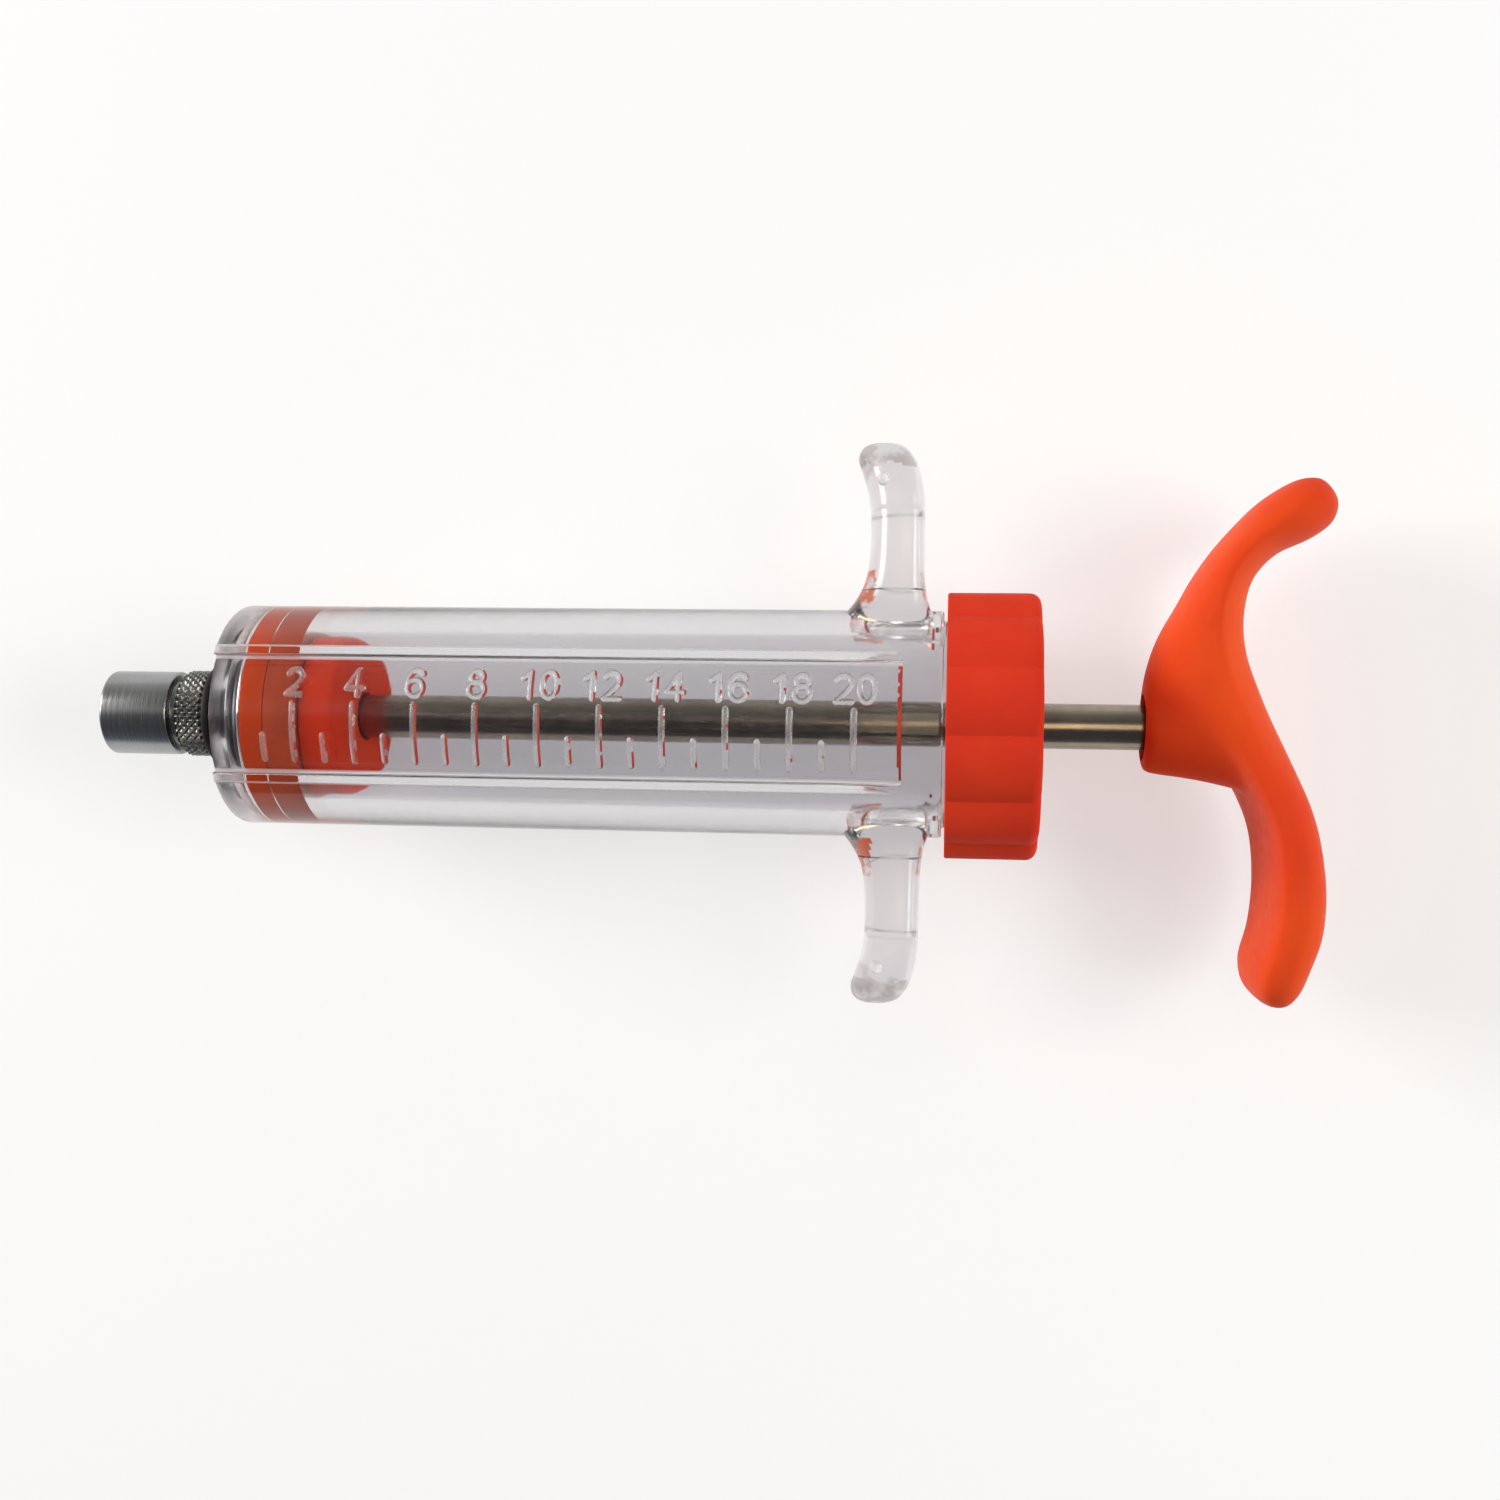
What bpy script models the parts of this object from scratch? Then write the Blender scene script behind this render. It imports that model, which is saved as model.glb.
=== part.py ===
"""Reusable 20 ml injector: clear barrel, metal luer nose, adjustable piston, screw cap and palm handle.

The injector lies on its back: the nose points to -X, the handle to +X, the finger wings lie along Y and
the scale window faces +Z. The origin is the bottom centre of the whole object's box.
Every piece is modelled around the barrel's axis, in a local frame whose x = 0 is the end cap's front edge,
and its object is placed with that frame's origin at (DATUM_X, 0, AXIS_Z).
"""
import math

import bmesh
import bpy

MM = 0.001
GAP = 0.3 * MM           # between pieces that touch on the real object
THIN_GAP = 0.1 * MM      # between thin stacked washers
ROUND_SEGMENTS = 36
BARREL_SEGMENTS = 48
ROD_SEGMENTS = 24
NUT_SIDES = 6
WING_POINTS = 20
PALM_POINTS = 20
LOBE_POINTS = 6          # outline points in one lobe of the end cap

# Overall
LENGTH = 135.5 * MM
NOSE_X = -95.3 * MM      # the luer collar's front face, from the end cap's front edge
DATUM_X = -(NOSE_X + LENGTH / 2)

# Barrel
BARREL_R = 12.35 * MM
BORE_R = 9.75 * MM
BARREL_FRONT_X = -79.5 * MM
BORE_FRONT_X = -76.87 * MM
SHOULDER_X = -0.8 * MM
SPIGOT_R = 11.65 * MM
SPIGOT_END_X = 6.3 * MM
NECK_R = 6.2 * MM
NECK_FRONT_X = -81.8 * MM
NOSE_HOLE_R = 2.9 * MM
EDGE = 0.5 * MM

# Scale window: a sunken band between two raised rims, ended by a step wall
WINDOW_END_X = -4.93 * MM
WINDOW_FLOOR_R = 11.0 * MM
WINDOW_HALF = 6.4 * MM
RIM_WIDTH = 1.1 * MM
RIM_TOP_Z = 10.6 * MM
RIM_BOTTOM_Z = 8.4 * MM
WINDOW_STEPS = 16

# Finger wings: (distance from the axis, front x, rear x, half width), in millimetres
WING_STATIONS = (
    (10.5, -12.6, -1.9, 5.9),
    (12.3, -11.2, -2.3, 5.8),
    (15.0, -9.55, -2.85, 5.6),
    (18.0, -9.0, -3.05, 5.5),
    (21.5, -8.9, -3.1, 5.5),
    (24.5, -9.15, -3.15, 5.4),
    (27.0, -9.85, -3.6, 5.1),
    (28.6, -10.35, -4.2, 4.7),
    (29.7, -10.0, -5.1, 3.8),
    (30.25, -9.1, -6.3, 2.6),
    (30.4, -8.4, -7.2, 1.4),
)

WING_SQUARENESS = 0.62

# Luer nose
COLLAR_R = 4.73 * MM
COLLAR_REAR_X = -86.8 * MM
COLLAR_GROOVE_R = 4.2 * MM
KNURL_FRONT_X = -86.5 * MM
KNURL_REAR_X = -83.2 * MM
KNURL_R = 4.9 * MM
LOCK_R = 3.95 * MM
LOCK_FLOOR_X = -88.4 * MM
SHANK_R = 2.6 * MM
TIP_X = -94.6 * MM
TIP_R = 1.97 * MM
TIP_TAPER = 0.03
TIP_BORE_R = 0.75 * MM
FLANGE_R = 7.0 * MM
FLANGE_FRONT_X = -78.05 * MM
FLANGE_REAR_X = -76.95 * MM
NOSE_SEAL_THICKNESS = 0.5 * MM

# Piston
PISTON_FRONT_X = -76.67 * MM
PLATE_REAR_X = -73.9 * MM
PLATE_R = 9.55 * MM
SEAL_FRONT_X = -73.8 * MM
SEAL_REAR_X = -70.3 * MM
SEAL_R = 9.7 * MM
CUP_FRONT_X = -70.2 * MM
CUP_REAR_X = -65.8 * MM
CUP_R = 9.1 * MM
CUP_SEAT_X = -68.0 * MM
NUT_R = 3.2 * MM
NUT_FRONT_X = -75.5 * MM
NUT_REAR_X = -74.1 * MM
PLATE_HOLE_X = -76.3 * MM

# Rod
ROD_R = 2.45 * MM
ROD_THREAD_R = 1.5 * MM
ROD_TIP_X = -75.4 * MM
ROD_SHOULDER_X = -67.7 * MM
ROD_TAIL_R = 2.0 * MM
ROD_TAIL_X = 22.6 * MM
ROD_END_X = 30.2 * MM

# End cap
CAP_FRONT_X = -0.45 * MM
CAP_REAR_X = 9.4 * MM
CAP_FLOOR_X = 7.2 * MM
CAP_BORE_R = 11.95 * MM
CAP_ROD_HOLE_R = 2.7 * MM
LOBES = 12
LOBE_PEAK_R = 14.6 * MM
LOBE_CREASE_R = 13.9 * MM
LOBE_TURN_DEG = 10.3
CAP_GASKET_INNER_R = 8.2 * MM
CAP_GASKET_OUTER_R = 11.4 * MM
CAP_GASKET_FRONT_X = 6.45 * MM
CAP_GASKET_REAR_X = 7.05 * MM

# Handle
HUB_HOLE_R = 3.6 * MM
HUB_HOLE_START_X = 19.4 * MM      # the hole's cutter starts in front of the hub's mouth
HUB_HOLE_END_X = 30.9 * MM
INSERT_FRONT_X = 22.9 * MM
INSERT_REAR_X = 30.6 * MM
INSERT_R = 3.4 * MM
INSERT_BORE_R = 2.2 * MM
HANDLE_REAR = LENGTH / MM + NOSE_X / MM

# Hub, cut by planes across x: (x on the axis, half size in y, half size in z, slant of the plane), lengths in
# millimetres. The last plane leans with the palm rest, so that the hub ends inside it.
HUB_STATIONS = (
    (20.4, 4.65, 4.65, 0.0),
    (20.65, 4.9, 4.9, 0.0),
    (23.0, 5.2, 5.7, -0.05),
    (26.0, 5.7, 7.1, -0.15),
    (29.8, 6.75, 9.3, -0.3),
)
HUB_POINTS = 32

# Palm rest, cut by planes across Y:
# (y, barrel side x, widest x, palm side x, half width, barrel side power, palm side power), in millimetres.
# A low power makes that side of the section square, 1 makes it round and 2 meets the flanks in a crease.
PALM_STATIONS = (
    (26.35, 36.3, 37.1, 38.0, 3.4, 0.8, 0.9),
    (25.9, 34.9, 36.7, 38.9, 5.6, 0.8, 0.9),
    (24.6, 32.8, 35.9, 39.9, 8.0, 0.8, 1.0),
    (23.4, 31.4, 35.0, HANDLE_REAR, 9.1, 0.8, 1.1),
    (21.8, 29.9, 33.6, 39.6, 9.8, 0.8, 1.3),
    (20.3, 28.6, 32.0, 37.6, 10.2, 0.8, 1.5),
    (18.6, 27.3, 30.2, 34.1, 10.5, 0.8, 1.7),
    (16.0, 25.6, 28.3, 31.7, 10.7, 0.85, 1.9),
    (13.0, 23.9, 27.3, 30.85, 10.7, 0.95, 2.0),
    (10.0, 22.1, 27.0, 30.75, 10.7, 1.05, 2.0),
    (7.0, 20.95, 27.4, 31.35, 10.7, 1.1, 2.0),
    (4.6, 20.6, 28.1, 32.3, 10.7, 1.1, 2.0),
    (2.0, 22.0, 29.2, 33.3, 10.7, 1.1, 1.9),
    (-1.0, 26.0, 30.4, 34.7, 10.7, 0.9, 1.7),
    (-4.0, 29.3, 31.6, 36.1, 10.6, 0.65, 1.4),
    (-8.0, 31.9, 33.2, 37.85, 10.5, 0.5, 1.1),
    (-12.0, 33.2, 34.5, 38.95, 10.3, 0.45, 1.0),
    (-17.0, 33.5, 34.9, 39.6, 10.1, 0.45, 1.0),
    (-21.5, 33.0, 34.6, 39.35, 9.8, 0.45, 1.0),
    (-25.0, 31.9, 33.9, 38.25, 9.2, 0.5, 1.0),
    (-27.4, 32.0, 33.7, 37.3, 7.9, 0.6, 0.95),
    (-28.7, 32.9, 34.2, 36.3, 5.9, 0.7, 0.9),
    (-29.2, 33.9, 34.7, 35.6, 3.6, 0.8, 0.9),
)


def lobe_radius(angle):
    """Radius of the end cap's outline: convex arcs that meet in sharp creases."""
    half = math.pi / LOBES
    crease_along = LOBE_CREASE_R * math.cos(half)
    crease_across = LOBE_CREASE_R * math.sin(half)
    centre = (LOBE_PEAK_R ** 2 - crease_along ** 2 - crease_across ** 2) / (2 * (LOBE_PEAK_R - crease_along))
    arc = LOBE_PEAK_R - centre
    swing = (angle - math.radians(LOBE_TURN_DEG) + half) % (2 * half) - half
    return centre * math.cos(swing) + math.sqrt(arc ** 2 - (centre * math.sin(swing)) ** 2)


def cap_angles():
    """Angles from +Z towards +Y, with one on every crease and one on every lobe's peak."""
    start = math.radians(LOBE_TURN_DEG) - math.pi / LOBES
    count = LOBES * LOBE_POINTS
    return [start + 2 * math.pi * step / count for step in range(count)]


AXIS_Z = max(-lobe_radius(angle) * math.cos(angle) for angle in cap_angles())


def material(name, colour, roughness, metallic=0.0, alpha=1.0):
    """One Principled BSDF material."""
    made = bpy.data.materials.new(name)
    made.use_nodes = True
    shader = made.node_tree.nodes["Principled BSDF"]
    shader.inputs["Base Color"].default_value = (*colour, 1.0)
    shader.inputs["Roughness"].default_value = roughness
    shader.inputs["Metallic"].default_value = metallic
    shader.inputs["Alpha"].default_value = alpha
    return made


def add_object(name, mesh_data, finish=None):
    """Place a mesh in the scene with its origin on the barrel's axis."""
    placed = bpy.data.objects.new(name, mesh_data)
    placed.location = (DATUM_X, 0.0, AXIS_Z)
    bpy.context.scene.collection.objects.link(placed)
    if finish is not None:
        mesh_data.materials.append(finish)
    return placed


def finish_mesh(name, bm, sharp_deg=35):
    """Turn a bmesh into a mesh with outward faces, smooth except at sharp edges."""
    bmesh.ops.recalc_face_normals(bm, faces=bm.faces)
    mesh = bpy.data.meshes.new(name)
    bm.to_mesh(mesh)
    bm.free()
    mesh.shade_smooth()
    mesh.set_sharp_from_angle(angle=math.radians(sharp_deg))
    return mesh


def bridge(bm, first, second):
    """Faces between two rings of vertices; a ring of one vertex is a point on the axis."""
    if len(first) == 1 and len(second) == 1:
        return
    count = max(len(first), len(second))
    for step in range(count):
        following = (step + 1) % count
        corners = []
        if len(first) == 1:
            corners = [first[0], second[following], second[step]]
        elif len(second) == 1:
            corners = [first[step], first[following], second[0]]
        else:
            corners = [first[step], first[following], second[following], second[step]]
        bm.faces.new(corners)


def turned(name, profile, segments=ROUND_SEGMENTS, angles=None, sharp_deg=35):
    """Spin a closed profile about the local x axis.

    A profile point is (x, radius), and a radius may be a function of the angle from +Z towards +Y.
    """
    if angles is None:
        angles = [2 * math.pi * step / segments for step in range(segments)]
    bm = bmesh.new()
    rings = []
    for x, radius in profile:
        if radius == 0:
            rings.append([bm.verts.new((x, 0.0, 0.0))])
            continue
        ring = []
        for angle in angles:
            r = radius(angle) if callable(radius) else radius
            ring.append(bm.verts.new((x, r * math.sin(angle), r * math.cos(angle))))
        rings.append(ring)
    for index, ring in enumerate(rings):
        bridge(bm, ring, rings[(index + 1) % len(rings)])
    return finish_mesh(name, bm, sharp_deg)


def ring_profile(front_x, rear_x, inner_r, outer_r, edge=0.0):
    """A plain ring, with its two outer edges bevelled."""
    if edge == 0.0:
        return [(front_x, inner_r), (front_x, outer_r), (rear_x, outer_r), (rear_x, inner_r)]
    return [
        (front_x, inner_r),
        (front_x, outer_r - edge),
        (front_x + edge, outer_r),
        (rear_x - edge, outer_r),
        (rear_x, outer_r - edge),
        (rear_x, inner_r),
    ]


def box_mesh(name, low, high):
    """A plain box between two corners."""
    bm = bmesh.new()
    bmesh.ops.create_cube(bm, size=1.0)
    for vert in bm.verts:
        for axis in range(3):
            middle = (low[axis] + high[axis]) / 2
            vert.co[axis] = middle + vert.co[axis] * (high[axis] - low[axis])
    return finish_mesh(name, bm)


def smooth_rows(rows, steps):
    """Catmull-Rom points through rows of numbers, with the first and last rows kept."""
    result = []
    last = len(rows) - 1
    for index in range(last):
        before = rows[max(index - 1, 0)]
        start = rows[index]
        end = rows[index + 1]
        after = rows[min(index + 2, last)]
        for step in range(steps):
            t = step / steps
            result.append([
                0.5 * (2 * b + (c - a) * t + (2 * a - 5 * b + 4 * c - d) * t ** 2 + (3 * b - a - 3 * c + d) * t ** 3)
                for a, b, c, d in zip(before, start, end, after)
            ])
    result.append(list(rows[last]))
    return result


def signed_power(value, power):
    """A power that keeps its argument's sign."""
    return math.copysign(abs(value) ** power, value)


def lofted(name, sections, sharp_deg=50):
    """Skin over a list of closed sections with equal point counts, and cap both ends."""
    bm = bmesh.new()
    rings = [[bm.verts.new(point) for point in section] for section in sections]
    for first, second in zip(rings, rings[1:]):
        bridge(bm, first, second)
    bm.faces.new(rings[0])
    bm.faces.new(rings[-1])
    return finish_mesh(name, bm, sharp_deg)


def use_as_tool(tool):
    """Mark an object as a Boolean operand that isn't part of the model."""
    tool.hide_render = True
    tool.display_type = "WIRE"
    return tool


def boolean(target, tool, operation):
    """Add an exact Boolean modifier to the target."""
    modifier = target.modifiers.new(tool.name, "BOOLEAN")
    modifier.object = tool
    modifier.operation = operation
    modifier.solver = "EXACT"


def wing_mesh(side):
    """One finger wing, side +1 or -1 along y, starting inside the barrel's wall."""
    sections = []
    for y, front, rear, half in WING_STATIONS:
        middle = (front + rear) / 2
        reach = (rear - front) / 2
        section = []
        for step in range(WING_POINTS):
            angle = 2 * math.pi * step / WING_POINTS
            x = middle + reach * signed_power(math.cos(angle), WING_SQUARENESS)
            z = half * signed_power(math.sin(angle), WING_SQUARENESS)
            section.append((x * MM, side * y * MM, z * MM))
        sections.append(section)
    return lofted("wing", sections)


def window_cutter_mesh():
    """Cutter for the scale window: a band along the top whose floor keeps the wall's thickness even."""
    half_angle = math.asin(WINDOW_HALF / WINDOW_FLOOR_R)
    outline = [(-WINDOW_HALF, BARREL_R + EDGE)]
    for step in range(WINDOW_STEPS + 1):
        angle = half_angle * (2 * step / WINDOW_STEPS - 1)
        outline.append((WINDOW_FLOOR_R * math.sin(angle), WINDOW_FLOOR_R * math.cos(angle)))
    outline.append((WINDOW_HALF, BARREL_R + EDGE))
    sections = []
    for x in (NECK_FRONT_X + EDGE, WINDOW_END_X):
        sections.append([(x, y, z) for y, z in outline])
    return lofted("window_cutter", sections)


def make_barrel(clear):
    """Barrel with neck, scale window, wings and the plain spigot under the cap."""
    profile = [
        (NECK_FRONT_X, NOSE_HOLE_R),
        (NECK_FRONT_X, NECK_R - EDGE),
        (NECK_FRONT_X + EDGE, NECK_R),
        (BARREL_FRONT_X, NECK_R),
        (BARREL_FRONT_X, BARREL_R - 2 * EDGE),
        (BARREL_FRONT_X + 0.3 * EDGE, BARREL_R - EDGE),
        (BARREL_FRONT_X + 1.2 * EDGE, BARREL_R),
        (SHOULDER_X - EDGE, BARREL_R),
        (SHOULDER_X, BARREL_R - EDGE),
        (SHOULDER_X, SPIGOT_R),
        (SPIGOT_END_X, SPIGOT_R),
        (SPIGOT_END_X, BORE_R),
        (BORE_FRONT_X, BORE_R),
        (BORE_FRONT_X, FLANGE_R + GAP),
        (FLANGE_FRONT_X - NOSE_SEAL_THICKNESS - 2 * THIN_GAP, FLANGE_R + GAP),
        (FLANGE_FRONT_X - NOSE_SEAL_THICKNESS - 2 * THIN_GAP, NOSE_HOLE_R),
    ]
    barrel = add_object("barrel", turned("barrel", profile, segments=BARREL_SEGMENTS), clear)
    boolean(barrel, use_as_tool(add_object("window_cutter", window_cutter_mesh())), "DIFFERENCE")
    for side, label in ((1, "left"), (-1, "right")):
        edges = sorted((side * WINDOW_HALF, side * (WINDOW_HALF + RIM_WIDTH)))
        rim = box_mesh(
            "rim_" + label,
            (BARREL_FRONT_X + EDGE, edges[0], RIM_BOTTOM_Z),
            (WINDOW_END_X - EDGE, edges[1], RIM_TOP_Z),
        )
        boolean(barrel, use_as_tool(add_object("rim_" + label, rim)), "UNION")
        wing = add_object("wing_" + label, wing_mesh(side))
        boolean(barrel, use_as_tool(wing), "UNION")


def make_nose(steel, rubber):
    """Collar, hollow luer bolt, knurled ring and the two seals of the nose."""
    collar = [
        (NOSE_X, LOCK_R),
        (NOSE_X, COLLAR_R - EDGE / 2),
        (NOSE_X + EDGE / 2, COLLAR_R),
        (COLLAR_REAR_X - EDGE, COLLAR_R),
        (COLLAR_REAR_X - EDGE, COLLAR_GROOVE_R),
        (COLLAR_REAR_X, COLLAR_GROOVE_R),
        (COLLAR_REAR_X, SHANK_R + GAP),
        (LOCK_FLOOR_X, SHANK_R + GAP),
        (LOCK_FLOOR_X, LOCK_R),
    ]
    add_object("luer_collar", turned("luer_collar", collar), steel)
    tip_root_r = TIP_R + TIP_TAPER * (LOCK_FLOOR_X - TIP_X)
    tip = [
        (TIP_X, TIP_BORE_R),
        (TIP_X, TIP_R),
        (LOCK_FLOOR_X, tip_root_r),
        (LOCK_FLOOR_X, SHANK_R),
        (FLANGE_FRONT_X, SHANK_R),
        (FLANGE_FRONT_X, FLANGE_R),
        (FLANGE_REAR_X, FLANGE_R),
        (FLANGE_REAR_X, TIP_BORE_R),
    ]
    add_object("luer_tip", turned("luer_tip", tip), steel)
    knurl = ring_profile(KNURL_FRONT_X, KNURL_REAR_X, SHANK_R + GAP, KNURL_R, EDGE / 2)
    add_object("knurled_ring", turned("knurled_ring", knurl), steel)
    gasket = ring_profile(KNURL_REAR_X + GAP, NECK_FRONT_X - GAP, SHANK_R + GAP, NECK_R - EDGE, EDGE / 2)
    add_object("nose_gasket", turned("nose_gasket", gasket), rubber)
    seal_rear = FLANGE_FRONT_X - THIN_GAP
    seal = ring_profile(seal_rear - NOSE_SEAL_THICKNESS, seal_rear, SHANK_R + GAP, FLANGE_R - GAP)
    add_object("nose_seal", turned("nose_seal", seal), rubber)


def make_piston(orange, seal_rubber, steel):
    """Front plate with its nut, seal and rear cup, clamped by the rod's thread."""
    thread_hole = ROD_THREAD_R + GAP
    plate = [
        (PISTON_FRONT_X, 0),
        (PISTON_FRONT_X, PLATE_R - EDGE),
        (PISTON_FRONT_X + EDGE, PLATE_R),
        (PLATE_REAR_X, PLATE_R),
        (PLATE_REAR_X, NUT_R + GAP),
        (NUT_FRONT_X - THIN_GAP, NUT_R + GAP),
        (NUT_FRONT_X - THIN_GAP, thread_hole),
        (PLATE_HOLE_X, thread_hole),
        (PLATE_HOLE_X, 0),
    ]
    add_object("piston_front_plate", turned("piston_front_plate", plate), orange)
    nut = ring_profile(NUT_FRONT_X, NUT_REAR_X, thread_hole, NUT_R)
    add_object("piston_nut", turned("piston_nut", nut, segments=NUT_SIDES), steel)
    middle = (SEAL_FRONT_X + SEAL_REAR_X) / 2
    seal = [
        (SEAL_FRONT_X, thread_hole),
        (SEAL_FRONT_X, SEAL_R - EDGE / 2),
        (SEAL_FRONT_X + EDGE, SEAL_R),
        (middle, SEAL_R),
        (SEAL_REAR_X - EDGE, SEAL_R),
        (SEAL_REAR_X, SEAL_R - EDGE / 2),
        (SEAL_REAR_X, thread_hole),
    ]
    add_object("piston_seal", turned("piston_seal", seal), seal_rubber)
    cup = [
        (CUP_FRONT_X, thread_hole),
        (CUP_FRONT_X, CUP_R),
        (CUP_REAR_X - 2 * EDGE, CUP_R),
        (CUP_REAR_X - 0.6 * EDGE, CUP_R - 0.6 * EDGE),
        (CUP_REAR_X, CUP_R - 2 * EDGE),
        (CUP_REAR_X, ROD_R + GAP),
        (CUP_SEAT_X, ROD_R + GAP),
        (CUP_SEAT_X, thread_hole),
    ]
    add_object("piston_rear_cup", turned("piston_rear_cup", cup), orange)


def make_rod(steel):
    """Rod with a threaded tip for the nut and a threaded tail for the handle."""
    profile = [
        (ROD_TIP_X, 0),
        (ROD_TIP_X, ROD_THREAD_R),
        (ROD_SHOULDER_X, ROD_THREAD_R),
        (ROD_SHOULDER_X, ROD_R),
        (ROD_TAIL_X, ROD_R),
        (ROD_TAIL_X, ROD_TAIL_R),
        (ROD_END_X, ROD_TAIL_R),
        (ROD_END_X, 0),
    ]
    add_object("rod", turned("rod", profile, segments=ROD_SEGMENTS), steel)


def make_end_cap(orange, rubber):
    """Twelve-lobed screw cap and the flat gasket inside it."""
    def shrunk(by):
        return lambda angle: lobe_radius(angle) - by

    profile = [
        (CAP_FRONT_X, CAP_BORE_R),
        (CAP_FRONT_X, lobe_radius),
        (CAP_REAR_X - 2.4 * EDGE, lobe_radius),
        (CAP_REAR_X - 0.8 * EDGE, shrunk(0.7 * EDGE)),
        (CAP_REAR_X, shrunk(2.4 * EDGE)),
        (CAP_REAR_X, CAP_ROD_HOLE_R),
        (CAP_FLOOR_X, CAP_ROD_HOLE_R),
        (CAP_FLOOR_X, CAP_BORE_R),
    ]
    add_object("end_cap", turned("end_cap", profile, angles=cap_angles(), sharp_deg=18), orange)
    gasket = ring_profile(CAP_GASKET_FRONT_X, CAP_GASKET_REAR_X, CAP_GASKET_INNER_R, CAP_GASKET_OUTER_R)
    add_object("cap_gasket", turned("cap_gasket", gasket), rubber)


def palm_sections():
    """Sections of the palm rest across y, crowned on the palm side."""
    sections = []
    for y, barrel_side, widest, palm_side, half, barrel_power, palm_power in smooth_rows(PALM_STATIONS, 2):
        section = []
        for step in range(PALM_POINTS):
            angle = 2 * math.pi * step / PALM_POINTS
            if math.cos(angle) >= 0:
                x = widest + (palm_side - widest) * signed_power(math.cos(angle), palm_power)
                z = half * math.sin(angle)
            else:
                x = widest + (widest - barrel_side) * signed_power(math.cos(angle), barrel_power)
                z = half * signed_power(math.sin(angle), barrel_power)
            section.append((x * MM, y * MM, z * MM))
        sections.append(section)
    return sections


def hub_sections():
    """Elliptical sections of the hub, from its mouth into the palm rest."""
    sections = []
    for x, half_y, half_z, slant in HUB_STATIONS:
        section = []
        for step in range(HUB_POINTS):
            angle = 2 * math.pi * (step + 0.5) / HUB_POINTS
            y = half_y * math.sin(angle)
            section.append(((x + slant * y) * MM, y * MM, half_z * math.cos(angle) * MM))
        sections.append(section)
    return sections


def make_handle(orange, brass):
    """Palm rest with its hub, and the threaded insert in the hub."""
    handle = add_object("handle", lofted("handle", palm_sections()), orange)
    boolean(handle, use_as_tool(add_object("hub_form", lofted("hub_form", hub_sections()))), "UNION")
    hole = [
        (HUB_HOLE_START_X, 0),
        (HUB_HOLE_START_X, HUB_HOLE_R),
        (HUB_HOLE_END_X, HUB_HOLE_R),
        (HUB_HOLE_END_X, 0),
    ]
    boolean(handle, use_as_tool(add_object("hub_hole", turned("hub_hole", hole, segments=ROD_SEGMENTS))), "DIFFERENCE")
    insert = ring_profile(INSERT_FRONT_X, INSERT_REAR_X, INSERT_BORE_R, INSERT_R)
    add_object("handle_insert", turned("handle_insert", insert, segments=ROD_SEGMENTS), brass)


def main():
    for old in list(bpy.data.objects):
        bpy.data.objects.remove(old, do_unlink=True)
    clear = material("clear_plastic", (0.86, 0.85, 0.89), 0.08, alpha=0.35)
    orange = material("orange_plastic", (0.85, 0.11, 0.02), 0.42)
    piston_orange = material("piston_orange", (0.72, 0.10, 0.025), 0.4)
    seal_rubber = material("seal_rubber", (0.45, 0.10, 0.04), 0.55)
    rubber = material("black_rubber", (0.02, 0.02, 0.02), 0.6)
    steel = material("steel", (0.55, 0.54, 0.52), 0.28, metallic=1.0)
    rod_steel = material("rod_steel", (0.42, 0.40, 0.37), 0.3, metallic=1.0)
    brass = material("brass", (0.75, 0.56, 0.25), 0.3, metallic=1.0)
    make_barrel(clear)
    make_nose(steel, rubber)
    make_piston(piston_orange, seal_rubber, steel)
    make_rod(rod_steel)
    make_end_cap(orange, rubber)
    make_handle(orange, brass)


main()
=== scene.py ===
import math

import bmesh
import bpy
from mathutils import Euler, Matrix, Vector, noise


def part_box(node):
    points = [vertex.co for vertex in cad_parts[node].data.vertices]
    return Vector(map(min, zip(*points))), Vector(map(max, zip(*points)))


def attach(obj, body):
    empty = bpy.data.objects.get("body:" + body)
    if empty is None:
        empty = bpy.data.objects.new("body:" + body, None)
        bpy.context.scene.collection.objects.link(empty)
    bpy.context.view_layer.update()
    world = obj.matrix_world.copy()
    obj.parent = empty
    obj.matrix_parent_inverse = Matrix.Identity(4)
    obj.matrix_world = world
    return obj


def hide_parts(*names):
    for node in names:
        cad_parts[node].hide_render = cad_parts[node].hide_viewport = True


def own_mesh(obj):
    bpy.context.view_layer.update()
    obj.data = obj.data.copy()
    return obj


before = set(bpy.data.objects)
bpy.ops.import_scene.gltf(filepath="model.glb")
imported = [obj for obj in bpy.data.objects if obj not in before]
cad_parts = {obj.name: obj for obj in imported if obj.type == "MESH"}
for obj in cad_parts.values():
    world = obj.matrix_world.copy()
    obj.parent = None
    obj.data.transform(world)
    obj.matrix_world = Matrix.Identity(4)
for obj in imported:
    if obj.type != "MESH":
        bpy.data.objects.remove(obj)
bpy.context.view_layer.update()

MM = 0.001
OVERLAP = 0.02           # mm that the seal and front plate press into the bore

# The local frame, in millimetres: y and z from the barrel's axis, x from just behind the cap's front edge.
CAP_EDGE = 0.45
ROD_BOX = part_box("rod")
AXIS_Z = (ROD_BOX[0].z + ROD_BOX[1].z) / 2
DATUM_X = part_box("end_cap")[0].x + CAP_EDGE * MM


def local_box(node):
    """A CAD node's lowest and highest corners in the local frame, in millimetres."""
    origin = Vector((DATUM_X, 0.0, AXIS_Z))
    low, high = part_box(node)
    return (low - origin) / MM, (high - origin) / MM


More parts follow.
